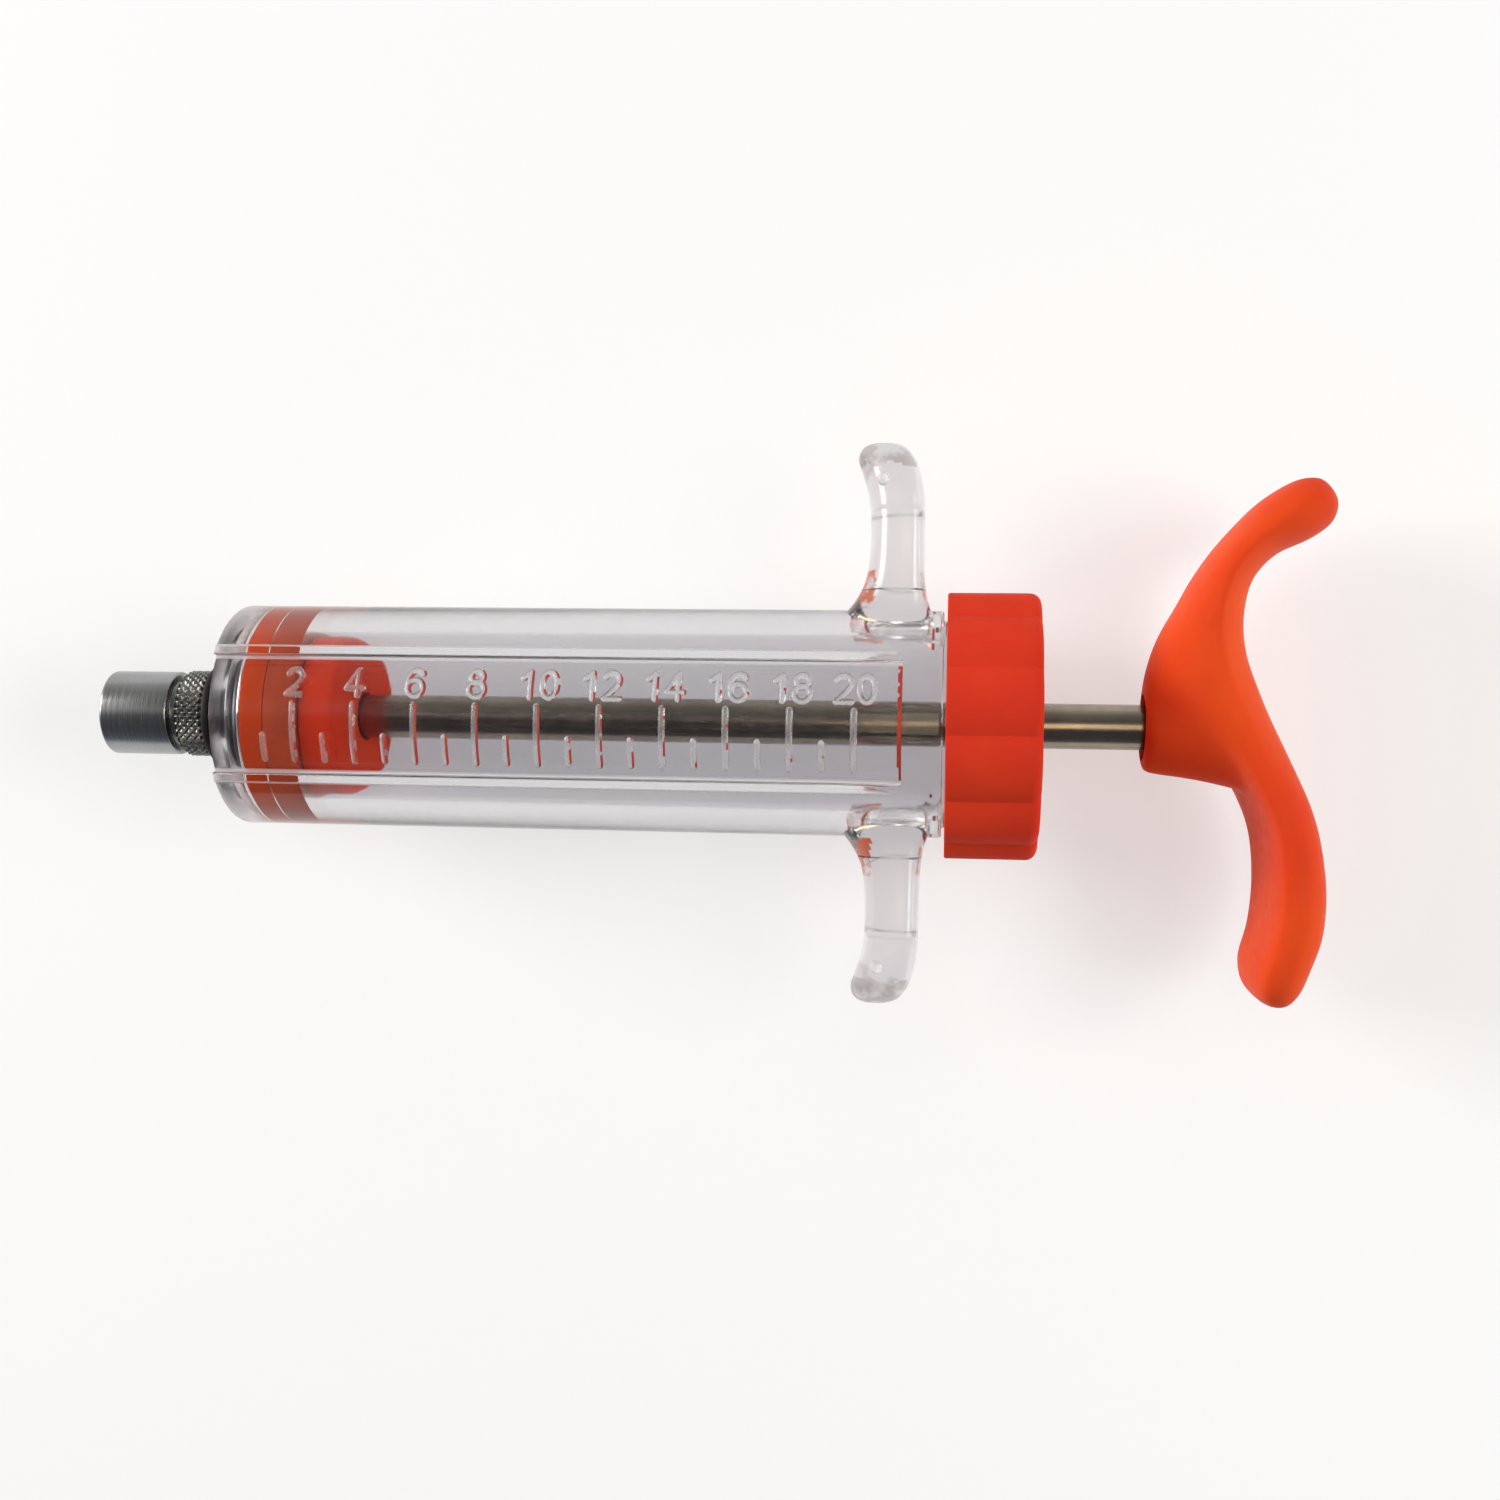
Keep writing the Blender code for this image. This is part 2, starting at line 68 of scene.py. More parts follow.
NECK_FRONT, SPIGOT_END = (corner.x for corner in local_box("barrel"))
NOSE_FRONT, COLLAR_REAR = (corner.x for corner in local_box("luer_collar"))
COLLAR_R = local_box("luer_collar")[1].y
KNURL_FRONT, KNURL_REAR = (corner.x for corner in local_box("knurled_ring"))
KNURL_R = local_box("knurled_ring")[1].y
GASKET_FRONT, GASKET_REAR = (corner.x for corner in local_box("nose_gasket"))
GASKET_R = local_box("nose_gasket")[1].y
TIP_FRONT, FLANGE_REAR = (corner.x for corner in local_box("luer_tip"))
FLANGE_R = local_box("luer_tip")[1].y
PLATE_FRONT, PLATE_REAR = (corner.x for corner in local_box("piston_front_plate"))
SEAL_FRONT, SEAL_REAR = (corner.x for corner in local_box("piston_seal"))
CUP_FRONT, CUP_REAR = (corner.x for corner in local_box("piston_rear_cup"))
CUP_R = local_box("piston_rear_cup")[1].y
ROD_FRONT, ROD_REAR = (corner.x for corner in local_box("rod"))
CAP_FRONT, CAP_REAR = (corner.x for corner in local_box("end_cap"))
HANDLE_REAR = local_box("handle")[1].x
WING_TIP = local_box("barrel")[1].y

# Barrel, in millimetres
BARREL_R = 12.35
BORE_R = 9.75
BARREL_FRONT = -79.5
BORE_FRONT = -76.87
SHOULDER = -0.8
NECK_R = 6.2
NOSE_HOLE_R = 2.9
SHANK_R = 2.6
THREAD_ROOT_R = 11.25
THREAD_CREST_R = 11.85
THREAD_PITCH = 2.0
THREAD_SPAN = (0.9, 5.0)
WINDOW_END = -4.93
FLOOR_R = 11.0
WINDOW_HALF = 6.4
WINDOW_TOP = 14.0
RIM_WIDTH = 1.1
RIM_TOP = 10.6
RIM_BOTTOM = 8.4
FOOT_R = 0.45
BARREL_SEGMENTS = 160
ROUND_SEGMENTS = 128

# Scale: 20 ml of a 19.5 mm bore, with raised marks and numbers
ML_STEP = 1000 / (math.pi * BORE_R ** 2)
LONG_MARK = (-5.25, 1.55)
SHORT_MARK = (-5.2, -1.85)
BEAD_HALF = 0.36
BEAD_HEIGHT = 0.36
BEAD_ROOT = 0.3
DIGIT_BASE = 2.15
DIGIT_PITCH = 2.4
DIGIT_SHIFT = 0.1

# Paint left on the marks: where it is thickest, how far it reaches, and the size of its gaps
PAINT_MIDDLE = -50.0
PAINT_REACH = 32.0
PAINT_LEVEL = 0.55
PAINT_SLOPE = 0.45
PAINT_GRAIN = 900.0
FILM_ROWS = (0.5, 0.3)   # how far the film of paint reaches from the step wall, mostly and where narrow
SEAM_FRONT = -2.0
SEAM_REAR = -1.75

# The barrel's finishes, by material slot; the milky and frosted ones also whiten the marks and the rims'
# edges as painted highlights
CLEAR, MILKY_PAINTED_HIGHLIGHT, PAINTED, FROSTED_AND_PAINTED_HIGHLIGHT, STAINED, WORN = range(6)

# Finger wing, by distance from the axis: (y, front x, widest x, rear x, half width)
WING_STATIONS = (
    (10.5, -12.8, -6.4, -1.7, 6.1),
    (11.6, -11.9, -6.2, -2.0, 5.95),
    (12.6, -11.0, -6.0, -2.35, 5.8),
    (13.8, -10.15, -5.7, -2.7, 5.7),
    (15.5, -9.4, -5.4, -2.95, 5.6),
    (18.0, -9.0, -5.3, -3.05, 5.5),
    (21.5, -8.9, -5.3, -3.1, 5.5),
    (24.5, -9.15, -5.5, -3.15, 5.4),
    (27.0, -9.85, -6.1, -3.6, 5.1),
    (28.6, -10.35, -6.8, -4.2, 4.7),
    (29.7, -10.0, -7.2, -5.1, 3.8),
    (30.2, -9.2, -7.5, -6.2, 2.6),
    (WING_TIP, -8.4, -7.7, -7.2, 1.4),
)
WING_LINES = (14.4, 23.0)
WING_LINE_HALF = 0.2
WING_LINE_DEPTH = 0.2
WING_POINTS = 64
WING_FROST_Y = 27.8
WING_HAZE = (11.8, 13.5)
FRONT_HAZE = (-78.8, -76.5)
PIN_MARK = (-7.4, 26.0, 4.95)
PIN_MARK_R = 0.75
STAIN_REACH = (12.2, 16.5)
STAIN_REAR = -8.2
STAIN_GRAIN = 420.0

# Nose and piston, in millimetres
RING_BORE_R = SHANK_R + 0.3
MOUTH_R = 3.95
MOUTH_FLOOR = -88.4
COLLAR_GROOVE_R = 3.7
COLLAR_GROOVE_WIDTH = 0.6
TIP_R = 1.97
TIP_TAPER = 0.03
TIP_BORE_R = 0.75
FLANGE_THICKNESS = 1.1
KNURL_TEETH = 34
KNURL_DEPTH = 0.3
KNURL_BEVEL = 0.35
ROD_R = 2.45
ROD_THREAD_R = 1.5
ROD_SHOULDER = -67.7
ROD_TAIL_R = 2.0
ROD_TAIL = 22.6
PISTON_HOLE_R = 1.8
PLATE_HOLE_FRONT = -76.3
NUT_POCKET_FRONT = -75.6
NUT_POCKET_R = 3.5
NUT_R = 3.15
CUP_SEAT = -68.0
CUP_SEAT_R = 2.75

# Handle: the hub's sections as (x, half width, half height, slant), and the palm rest's as
# (y, barrel-side x, widest x, palm-side x, half height, barrel-side power, palm-side power)
HUB_STATIONS = (
    (20.4, 4.65, 4.65, 0.0),
    (20.65, 4.9, 4.9, 0.0),
    (23.0, 5.2, 5.7, -0.05),
    (26.0, 5.7, 7.1, -0.15),
    (29.8, 6.75, 9.3, -0.3),
)
PALM_STATIONS = (
    (26.35, 36.3, 37.1, 38.0, 3.4, 0.8, 0.9),
    (25.9, 34.9, 36.7, 38.9, 5.6, 0.8, 0.9),
    (24.6, 32.8, 35.9, 39.9, 8.0, 0.8, 1.0),
    (23.4, 31.4, 35.0, HANDLE_REAR, 9.1, 0.8, 1.1),
    (21.8, 29.9, 33.6, 39.6, 9.8, 0.8, 1.3),
    (20.3, 28.6, 32.0, 37.6, 10.2, 0.8, 1.5),
    (18.6, 27.3, 30.2, 34.1, 10.5, 0.8, 1.7),
    (16.0, 25.6, 28.3, 31.7, 10.7, 0.85, 1.9),
    (13.0, 23.9, 27.3, 30.85, 10.7, 0.95, 2.0),
    (10.0, 22.1, 27.0, 30.75, 10.7, 1.05, 2.0),
    (7.0, 20.95, 27.4, 31.35, 10.7, 1.1, 2.0),
    (4.6, 20.6, 28.1, 32.3, 10.7, 1.1, 2.0),
    (2.0, 22.0, 29.2, 33.3, 10.7, 1.1, 1.9),
    (-1.0, 26.0, 30.4, 34.7, 10.7, 0.9, 1.7),
    (-4.0, 29.3, 31.6, 36.1, 10.6, 0.65, 1.4),
    (-8.0, 31.9, 33.2, 37.85, 10.5, 0.5, 1.1),
    (-12.0, 33.2, 34.5, 38.95, 10.3, 0.45, 1.0),
    (-17.0, 33.5, 34.9, 39.6, 10.1, 0.45, 1.0),
    (-21.5, 33.0, 34.6, 39.35, 9.8, 0.45, 1.0),
    (-25.0, 31.9, 33.9, 38.25, 9.2, 0.5, 1.0),
    (-27.4, 32.0, 33.7, 37.3, 7.9, 0.6, 0.95),
    (-28.7, 32.9, 34.2, 36.3, 5.9, 0.7, 0.9),
    (-29.2, 33.9, 34.7, 35.6, 3.6, 0.8, 0.9),
)
HUB_HOLE_R = 3.6
HUB_HOLE_START = 19.0
HUB_HOLE_END = 30.9
INSERT_R = 3.4
INSERT_BORE_R = 2.2
HANDLE_VOXEL = 0.3 * MM
HANDLE_SMOOTHING = 12
BLEND_CENTRE = (26.0, 4.0, 0.0)
BLEND_REACH = 13.0
BLEND_SMOOTHING = 150

# End cap
LOBES = 12
LOBE_PEAK_R = 14.59
LOBE_CREASE_R = 13.9
LOBE_TURN_DEG = 10.3
LOBE_POINTS = 24
CAP_BORE_R = 11.95
CAP_FLOOR = 7.2
CAP_HOLE_R = 2.7
CAP_FRONT_ROUND = 0.22
CAP_REAR_ROUND = 1.2
CAP_GASKET_BORE_R = 8.2

# Room: how bright it is by height, from the horizon to overhead, and each side's share and colour
ROOM_STOPS = ((0.0, 0.8), (0.22, 0.6), (0.5, 0.4), (1.0, 0.36))
ROOM_SIDES = (
    (0.0, (0.24, 0.26, 0.30)),
    (0.48, (0.24, 0.25, 0.28)),
    (0.53, (0.92, 0.95, 1.0)),
    (0.60, (0.92, 0.91, 0.86)),
    (0.70, (0.50, 0.49, 0.47)),
    (1.0, (1.0, 0.985, 0.95)),
)

# Floor paper, and each lamp's name, place, the point along the axis it is aimed at, size, power and colour
FLOOR_SIZE = 2.0
FLOOR_SHADE = (0.42, 0.42, 0.42)
FLOOR_GLOW = 0.56
LAMPS = (
    ("key", (-0.64, 0.20, 0.34), 0.0, 0.36, 4.8, (1.0, 0.985, 0.96)),
    ("rear", (0.50, 0.02, 0.38), 0.0, 0.32, 2.2, (1.0, 0.99, 0.97)),
    ("top", (0.09, 0.0, 0.55), 0.05, 0.2, 0.28, (1.0, 0.78, 0.5)),
)

# Camera, above the cap's front edge
CAMERA_LENS = 41.23
CAMERA_HEIGHT = 188.4
CAMERA_Y = -0.8
CAMERA_TILT_DEG = (-0.6, 6.64, 0.9)


# ---------------------------------------------------------------- mesh helpers

def at(x, y, z):
    """A point of the local frame in metres, in the row frame."""
    return Vector((DATUM_X + x * MM, y * MM, AXIS_Z + z * MM))


def finish_mesh(name, bm, sharp_deg=30):
    """A mesh with outward faces, smooth except at sharp edges."""
    bmesh.ops.recalc_face_normals(bm, faces=bm.faces)
    mesh = bpy.data.meshes.new(name)
    bm.to_mesh(mesh)
    bm.free()
    mesh.shade_smooth()
    mesh.set_sharp_from_angle(angle=math.radians(sharp_deg))
    return mesh


def add_object(name, mesh, materials=()):
    """An object in the scene for this mesh."""
    made = bpy.data.objects.new(name, mesh)
    bpy.context.scene.collection.objects.link(made)
    for finish in materials:
        mesh.materials.append(finish)
    return made


def bridge(bm, first, second):
    """Quads between two rings of vertices; a ring of one vertex is a point on the axis."""
    if len(first) == 1 and len(second) == 1:
        return
    count = max(len(first), len(second))
    for step in range(count):
        following = (step + 1) % count
        if len(first) == 1:
            corners = [first[0], second[following], second[step]]
        elif len(second) == 1:
            corners = [first[step], first[following], second[0]]
        else:
            corners = [first[step], first[following], second[following], second[step]]
        bm.faces.new(corners)


def filleted(corners, steps=5):
    """Round the corners (x, radius, fillet) of a closed profile with short curves."""
    points = []
    count = len(corners)
    for index, (x, r, fillet) in enumerate(corners):
        here = Vector((x, r))
        if fillet == 0:
            points.append(here)
            continue
        before = Vector(corners[index - 1][:2]) - here
        after = Vector(corners[(index + 1) % count][:2]) - here
        reach = min(fillet, before.length * 0.45, after.length * 0.45)
        start = here + before.normalized() * reach
        end = here + after.normalized() * reach
        for step in range(steps + 1):
            t = step / steps
            points.append(start * (1 - t) ** 2 + here * 2 * t * (1 - t) + end * t ** 2)
    return [(point.x, point.y) for point in points]


def turned(name, profile, segments=ROUND_SEGMENTS, angles=None, sharp_deg=30):
    """Spin a closed profile of (x, radius) about the axis; a radius may be a function of the angle."""
    if angles is None:
        angles = [2 * math.pi * step / segments for step in range(segments)]
    bm = bmesh.new()
    rings = []
    for x, radius in profile:
        if radius == 0:
            rings.append([bm.verts.new(at(x, 0, 0))])
            continue
        ring = []
        for angle in angles:
            r = radius(angle) if callable(radius) else radius
            ring.append(bm.verts.new(at(x, r * math.sin(angle), r * math.cos(angle))))
        rings.append(ring)
    for index, ring in enumerate(rings):
        bridge(bm, ring, rings[(index + 1) % len(rings)])
    return finish_mesh(name, bm, sharp_deg)


def lofted(name, sections, sharp_deg=50):
    """Skin over closed sections with equal point counts, with both ends capped."""
    bm = bmesh.new()
    rings = [[bm.verts.new(at(*point)) for point in section] for section in sections]
    for first, second in zip(rings, rings[1:]):
        bridge(bm, first, second)
    bm.faces.new(rings[0])
    bm.faces.new(rings[-1])
    return finish_mesh(name, bm, sharp_deg)


def catmull_rom(a, b, c, d, t):
    """A smooth value between b and c, with a before them and d after."""
    slope = (c - a) * t
    square = (2 * a - 5 * b + 4 * c - d) * t ** 2
    cube = (3 * b - a - 3 * c + d) * t ** 3
    return 0.5 * (2 * b + slope + square + cube)


def smooth_rows(rows, steps):
    """Catmull-Rom points through rows of numbers, with the first and last rows kept."""
    result = []
    last = len(rows) - 1
    for index in range(last):
        before = rows[max(index - 1, 0)]
        start = rows[index]
        end = rows[index + 1]
        after = rows[min(index + 2, last)]
        for step in range(steps):
            result.append([
                catmull_rom(a, b, c, d, step / steps)
                for a, b, c, d in zip(before, start, end, after)
            ])
    result.append(list(rows[last]))
    return result


def signed_power(value, power):
    """A power that keeps its argument's sign."""
    return math.copysign(abs(value) ** power, value)


def combine(target, tool_meshes, operation):
    """Apply one exact Boolean per tool to the target's mesh."""
    tools = []
    for mesh in tool_meshes:
        tool = add_object(mesh.name + "_tool", mesh)
        modifier = target.modifiers.new(tool.name, "BOOLEAN")
        modifier.object = tool
        modifier.operation = operation
        modifier.solver = "EXACT"
        tools.append(tool)
    apply_modifiers(target)
    for tool in tools:
        bpy.data.objects.remove(tool)


def apply_modifiers(target):
    """Replace the target's mesh with its evaluated mesh."""
    bpy.context.view_layer.update()
    graph = bpy.context.evaluated_depsgraph_get()
    evaluated = target.evaluated_get(graph)
    made = bpy.data.meshes.new_from_object(evaluated, preserve_all_data_layers=True, depsgraph=graph)
    target.modifiers.clear()
    target.data = made


def piece(made, body, slot, *nodes):
    """Attach a finished piece to what it rides on and hide the CAD nodes it stands for; slot is not used."""
    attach(made, body)
    if nodes:
        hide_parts(*nodes)
    return made


def turned_piece(name, corners, finish, body, slot, node, steps=5, segments=ROUND_SEGMENTS):
    """A turned piece from a profile with rounded corners, in place of a CAD node."""
    made = add_object(name, turned(name, filleted(corners, steps), segments), (finish,))
    return piece(made, body, slot, node)


def ring_corners(front, rear, inner, outer, rounding):
    """The profile of a plain ring, with its outer edges rounded."""
    return [
        (front, inner, 0.1),
        (front, outer, rounding),
        (rear, outer, rounding),
        (rear, inner, 0.1),
    ]


# ---------------------------------------------------------------- materials

def fill_ramp(ramp, stops):
    """Set a colour ramp's stops."""
    elements = ramp.color_ramp.elements
    while len(elements) < len(stops):
        elements.new(0.5)
    for element, (position, colour) in zip(elements, stops):
        element.position = position
        element.color = (*colour, 1.0)


class Nodes:
    """A short way to build a node material."""

    def __init__(self, name):
        self.material = bpy.data.materials.new(name)
        self.material.use_nodes = True
        self.tree = self.material.node_tree
        self.shader = self.tree.nodes["Principled BSDF"]
        self.output = self.tree.nodes["Material Output"]

    def add(self, kind, **values):
        """A node, with its input values and properties by name."""
        node = self.tree.nodes.new(kind)
        for key, value in values.items():
            if hasattr(node, key):
                setattr(node, key, value)
            else:
                node.inputs[key.replace("_", " ")].default_value = value
        return node

    def link(self, output, target):
        self.tree.links.new(output, target)

    def math(self, operation, first, second):
        """A math node on sockets or numbers; returns its output."""
        node = self.tree.nodes.new("ShaderNodeMath")
        node.operation = operation
        for index, value in enumerate((first, second)):
            if isinstance(value, (int, float)):
                node.inputs[index].default_value = value
            else:
                self.link(value, node.inputs[index])
        return node.outputs[0]

    def place(self):
        """Object coordinates, which are metres in the row frame."""
        return self.add("ShaderNodeTexCoord").outputs["Object"]

    def noise(self, scale, detail=3.0, roughness=0.5, stretch=(1, 1, 1)):
        """Noise in object space, stretched per axis; returns its factor."""
        mapping = self.add("ShaderNodeMapping")
        mapping.inputs["Scale"].default_value = stretch
        self.link(self.place(), mapping.inputs["Vector"])
        texture = self.add("ShaderNodeTexNoise", Scale=scale, Detail=detail, Roughness=roughness)
        self.link(mapping.outputs["Vector"], texture.inputs["Vector"])
        return texture.outputs["Fac"]

    def ramp(self, factor, stops):
        """A colour ramp over (position, colour) stops; returns its colour."""
        ramp = self.add("ShaderNodeValToRGB")
        fill_ramp(ramp, stops)
        self.link(factor, ramp.inputs["Fac"])
        return ramp.outputs["Color"]

    def spread(self, factor, low, high, out_low, out_high):
        """Map a range to another; returns the value."""
        node = self.add("ShaderNodeMapRange")
        for key, value in (("From Min", low), ("From Max", high), ("To Min", out_low), ("To Max", out_high)):
            node.inputs[key].default_value = value
        self.link(factor, node.inputs["Value"])
        return node.outputs["Result"]

    def bump(self, height, strength, distance):
        """Bump the Principled shader by a height."""
        bump = self.add("ShaderNodeBump", Strength=strength, Distance=distance)
        self.link(height, bump.inputs["Height"])
        self.link(bump.outputs["Normal"], self.shader.inputs["Normal"])


# Colours; those of metals and orange plastics are pairs, bright and dark
CLEAR_TINT = (0.74, 0.73, 0.75)
LAMP_TINT = (0.80, 0.79, 0.81)
STAIN_TINT = (0.55, 0.05, 0.012)
WORN_TINT = (0.46, 0.42, 0.42)
PAINT_RED = (0.50, 0.045, 0.025)
NOSE_STEEL = ((0.36, 0.37, 0.38), (0.29, 0.29, 0.29))
KNURL_STEEL = ((0.26, 0.26, 0.25), (0.15, 0.15, 0.145))
NUT_STEEL = ((0.5, 0.49, 0.46), (0.36, 0.35, 0.33))
ROD_STEEL = ((0.36, 0.31, 0.25), (0.24, 0.20, 0.16))
BRASS = ((0.75, 0.56, 0.25), (0.6, 0.42, 0.18))
# the front plate's orange is the cup's plastic made darker: painted shade
PLATE_ORANGE_PAINTED_SHADE = ((0.50, 0.060, 0.012), (0.38, 0.04, 0.010))
CUP_ORANGE = ((0.76, 0.050, 0.008), (0.58, 0.033, 0.007))
CAP_ORANGE = ((0.70, 0.052, 0.018), (0.60, 0.034, 0.018))
HANDLE_ORANGE = ((0.80, 0.085, 0.016), (0.70, 0.052, 0.016))
SEAL_BROWN = (0.43, 0.058, 0.017)
BLACK = (0.018, 0.018, 0.018)


def clear_plastic(name, frost=0.0, stain=None):
    """Clear moulded plastic with fine wear, hazier on the wings and the front.

    Frost makes it milky, and a stain colours it in blotches.
    """
    nodes = Nodes(name)
    shader = nodes.shader
    shader.inputs["Base Color"].default_value = (*CLEAR_TINT, 1.0)
    if stain:
        blotches = nodes.ramp(nodes.noise(STAIN_GRAIN, 3.0, 0.6), ((0.40, CLEAR_TINT), (0.52, stain)))
        nodes.link(blotches, shader.inputs["Base Color"])
    shader.inputs["IOR"].default_value = 1.49
    shader.inputs["Transmission Weight"].default_value = 1.0 - frost
    split = nodes.add("ShaderNodeSeparateXYZ")
    nodes.link(nodes.place(), split.inputs[0])
    across = nodes.math("ABSOLUTE", split.outputs["Y"], 0.0)
    wing_haze = nodes.spread(across, WING_HAZE[0] * MM, WING_HAZE[1] * MM, 0.0, 0.13)
    front, rear = (DATUM_X + x * MM for x in FRONT_HAZE)
    front_haze = nodes.spread(split.outputs["X"], front, rear, 0.16, 0.0)
    wear = nodes.spread(nodes.noise(700.0, 4.0, 0.6), 0.35, 0.7, 0.03 + frost, 0.11 + frost)
    haze = nodes.math("ADD", wear, nodes.math("ADD", wing_haze, front_haze))
    nodes.link(haze, shader.inputs["Roughness"])
    nodes.bump(nodes.noise(350.0, 3.0, 0.6), 0.12, 0.05 * MM)
    lamp_path = nodes.add("ShaderNodeLightPath")
    passing = nodes.add("ShaderNodeBsdfTransparent")
    passing.inputs["Color"].default_value = (*LAMP_TINT, 1.0)
    see = nodes.add("ShaderNodeMixShader")
    nodes.link(lamp_path.outputs["Is Shadow Ray"], see.inputs["Fac"])
    nodes.link(shader.outputs[0], see.inputs[1])
    nodes.link(passing.outputs[0], see.inputs[2])
    nodes.link(see.outputs[0], nodes.output.inputs["Surface"])
    return nodes.material


def paint(name):
    """Old red paint, left in patches."""
    nodes = Nodes(name)
    tone = nodes.noise(500.0, 4.0, 0.6)
    darker = tuple(channel * 0.7 for channel in PAINT_RED)
    nodes.link(nodes.ramp(tone, ((0.35, darker), (0.65, PAINT_RED))), nodes.shader.inputs["Base Color"])
    nodes.shader.inputs["Roughness"].default_value = 0.5
    nodes.bump(tone, 0.3, 0.02 * MM)
    return nodes.material


def orange_plastic(name, lit, shade, roughness):
    """Moulded orange plastic: uneven colour, a fine orange-peel surface and a soft glow under it."""
    nodes = Nodes(name)
    shader = nodes.shader
    tone = nodes.noise(60.0, 4.0, 0.55)
    nodes.link(nodes.ramp(tone, ((0.3, shade), (0.7, lit))), shader.inputs["Base Color"])
    shader.inputs["Subsurface Weight"].default_value = 0.25
    shader.inputs["Subsurface Radius"].default_value = (1.0, 0.35, 0.1)
    shader.inputs["Subsurface Scale"].default_value = 1.2 * MM
    shader.inputs["IOR"].default_value = 1.48
    shader.inputs["Specular IOR Level"].default_value = 0.01
    patches = nodes.spread(nodes.noise(900.0, 3.0, 0.6), 0.3, 0.7, roughness - 0.06, roughness + 0.08)
    nodes.link(patches, shader.inputs["Roughness"])
    nodes.bump(nodes.noise(2600.0, 2.0, 0.5), 0.25, 0.03 * MM)
    return nodes.material


def worked_steel(name, colour, dark, roughness, line_strength, stretch=(14.0, 0.25, 0.25)):
    """Metal with fine lines around the axis, or along it with another stretch."""
    nodes = Nodes(name)
    shader = nodes.shader
    shader.inputs["Metallic"].default_value = 1.0
    lines = nodes.noise(900.0, 3.0, 0.7, stretch)
    cloud = nodes.noise(160.0, 4.0, 0.6)
    nodes.link(nodes.ramp(cloud, ((0.3, dark), (0.7, colour))), shader.inputs["Base Color"])
    nodes.link(nodes.spread(lines, 0.3, 0.7, roughness - 0.07, roughness + 0.1), shader.inputs["Roughness"])
    nodes.bump(lines, line_strength, 0.02 * MM)
    return nodes.material


def rubber(name, colour, roughness):
    """Rubber with a faint bloom and grain."""
    nodes = Nodes(name)
    shader = nodes.shader
    shader.inputs["Specular IOR Level"].default_value = 0.2
    tone = nodes.noise(220.0, 4.0, 0.6)
    darker = tuple(channel * 0.65 for channel in colour)
    nodes.link(nodes.ramp(tone, ((0.3, darker), (0.7, colour))), shader.inputs["Base Color"])
    nodes.link(nodes.spread(tone, 0.3, 0.7, roughness, roughness + 0.15), shader.inputs["Roughness"])
    nodes.bump(nodes.noise(1800.0, 2.0), 0.2, 0.03 * MM)
    return nodes.material


# ---------------------------------------------------------------- barrel

def wing_rows():
    """The wing's stations made finer, with three more rows for each of its faint lines."""
    rows = smooth_rows(WING_STATIONS, 5)
    for middle in WING_LINES:
        for offset in (-WING_LINE_HALF, 0.0, WING_LINE_HALF):
            y = middle + offset
            index = next(i for i, row in enumerate(rows) if row[0] > y)
            before, after = rows[index - 1], rows[index]
            share = (y - before[0]) / (after[0] - before[0])
            row = [a + (b - a) * share for a, b in zip(before, after)]
            if offset == 0.0:
                row[1] += WING_LINE_DEPTH
                row[3] -= WING_LINE_DEPTH
                row[4] -= WING_LINE_DEPTH
            rows.insert(index, row)
    return rows


def wing_mesh(side):
    """One finger wing, side +1 or -1 along y, rounder in front than behind."""
    sections = []
    for y, front, widest, rear, half in wing_rows():
        section = []
        for step in range(WING_POINTS):
            angle = 2 * math.pi * step / WING_POINTS
            power = 0.5 if math.cos(angle) > 0 else 0.72
            reach = rear - widest if math.cos(angle) > 0 else widest - front
            x = widest + reach * signed_power(math.cos(angle), power)
            z = half * signed_power(math.sin(angle), power)
            section.append((x, side * y, z))
        sections.append(section)
    return wing_finishes(lofted("wing", sections))


def wing_finishes(mesh):
    """Stain the front of a wing's root, and wear its tip dull."""
    near, far = STAIN_REACH
    for face in mesh.polygons:
        x = (face.center.x - DATUM_X) / MM
        y = abs(face.center.y) / MM
        if near < y < far and x < STAIN_REAR:
            face.material_index = STAINED
        elif y > WING_FROST_Y + noise.noise(face.center * STAIN_GRAIN):
            face.material_index = WORN
    return mesh


def pin_mark_mesh(side):
    """The small round ejector mark near a wing's tip."""
    x, y, z = PIN_MARK
    bm = bmesh.new()
    bmesh.ops.create_uvsphere(bm, u_segments=24, v_segments=12, radius=PIN_MARK_R * MM)
    for vert in bm.verts:
        vert.co = Vector((vert.co.x, vert.co.y, vert.co.z * 0.6)) + at(x, side * y, z)
    mesh = finish_mesh("pin_mark", bm, 60)
    for face in mesh.polygons:
        if face.normal.z < 0.85:
            face.material_index = FROSTED_AND_PAINTED_HIGHLIGHT
    return mesh


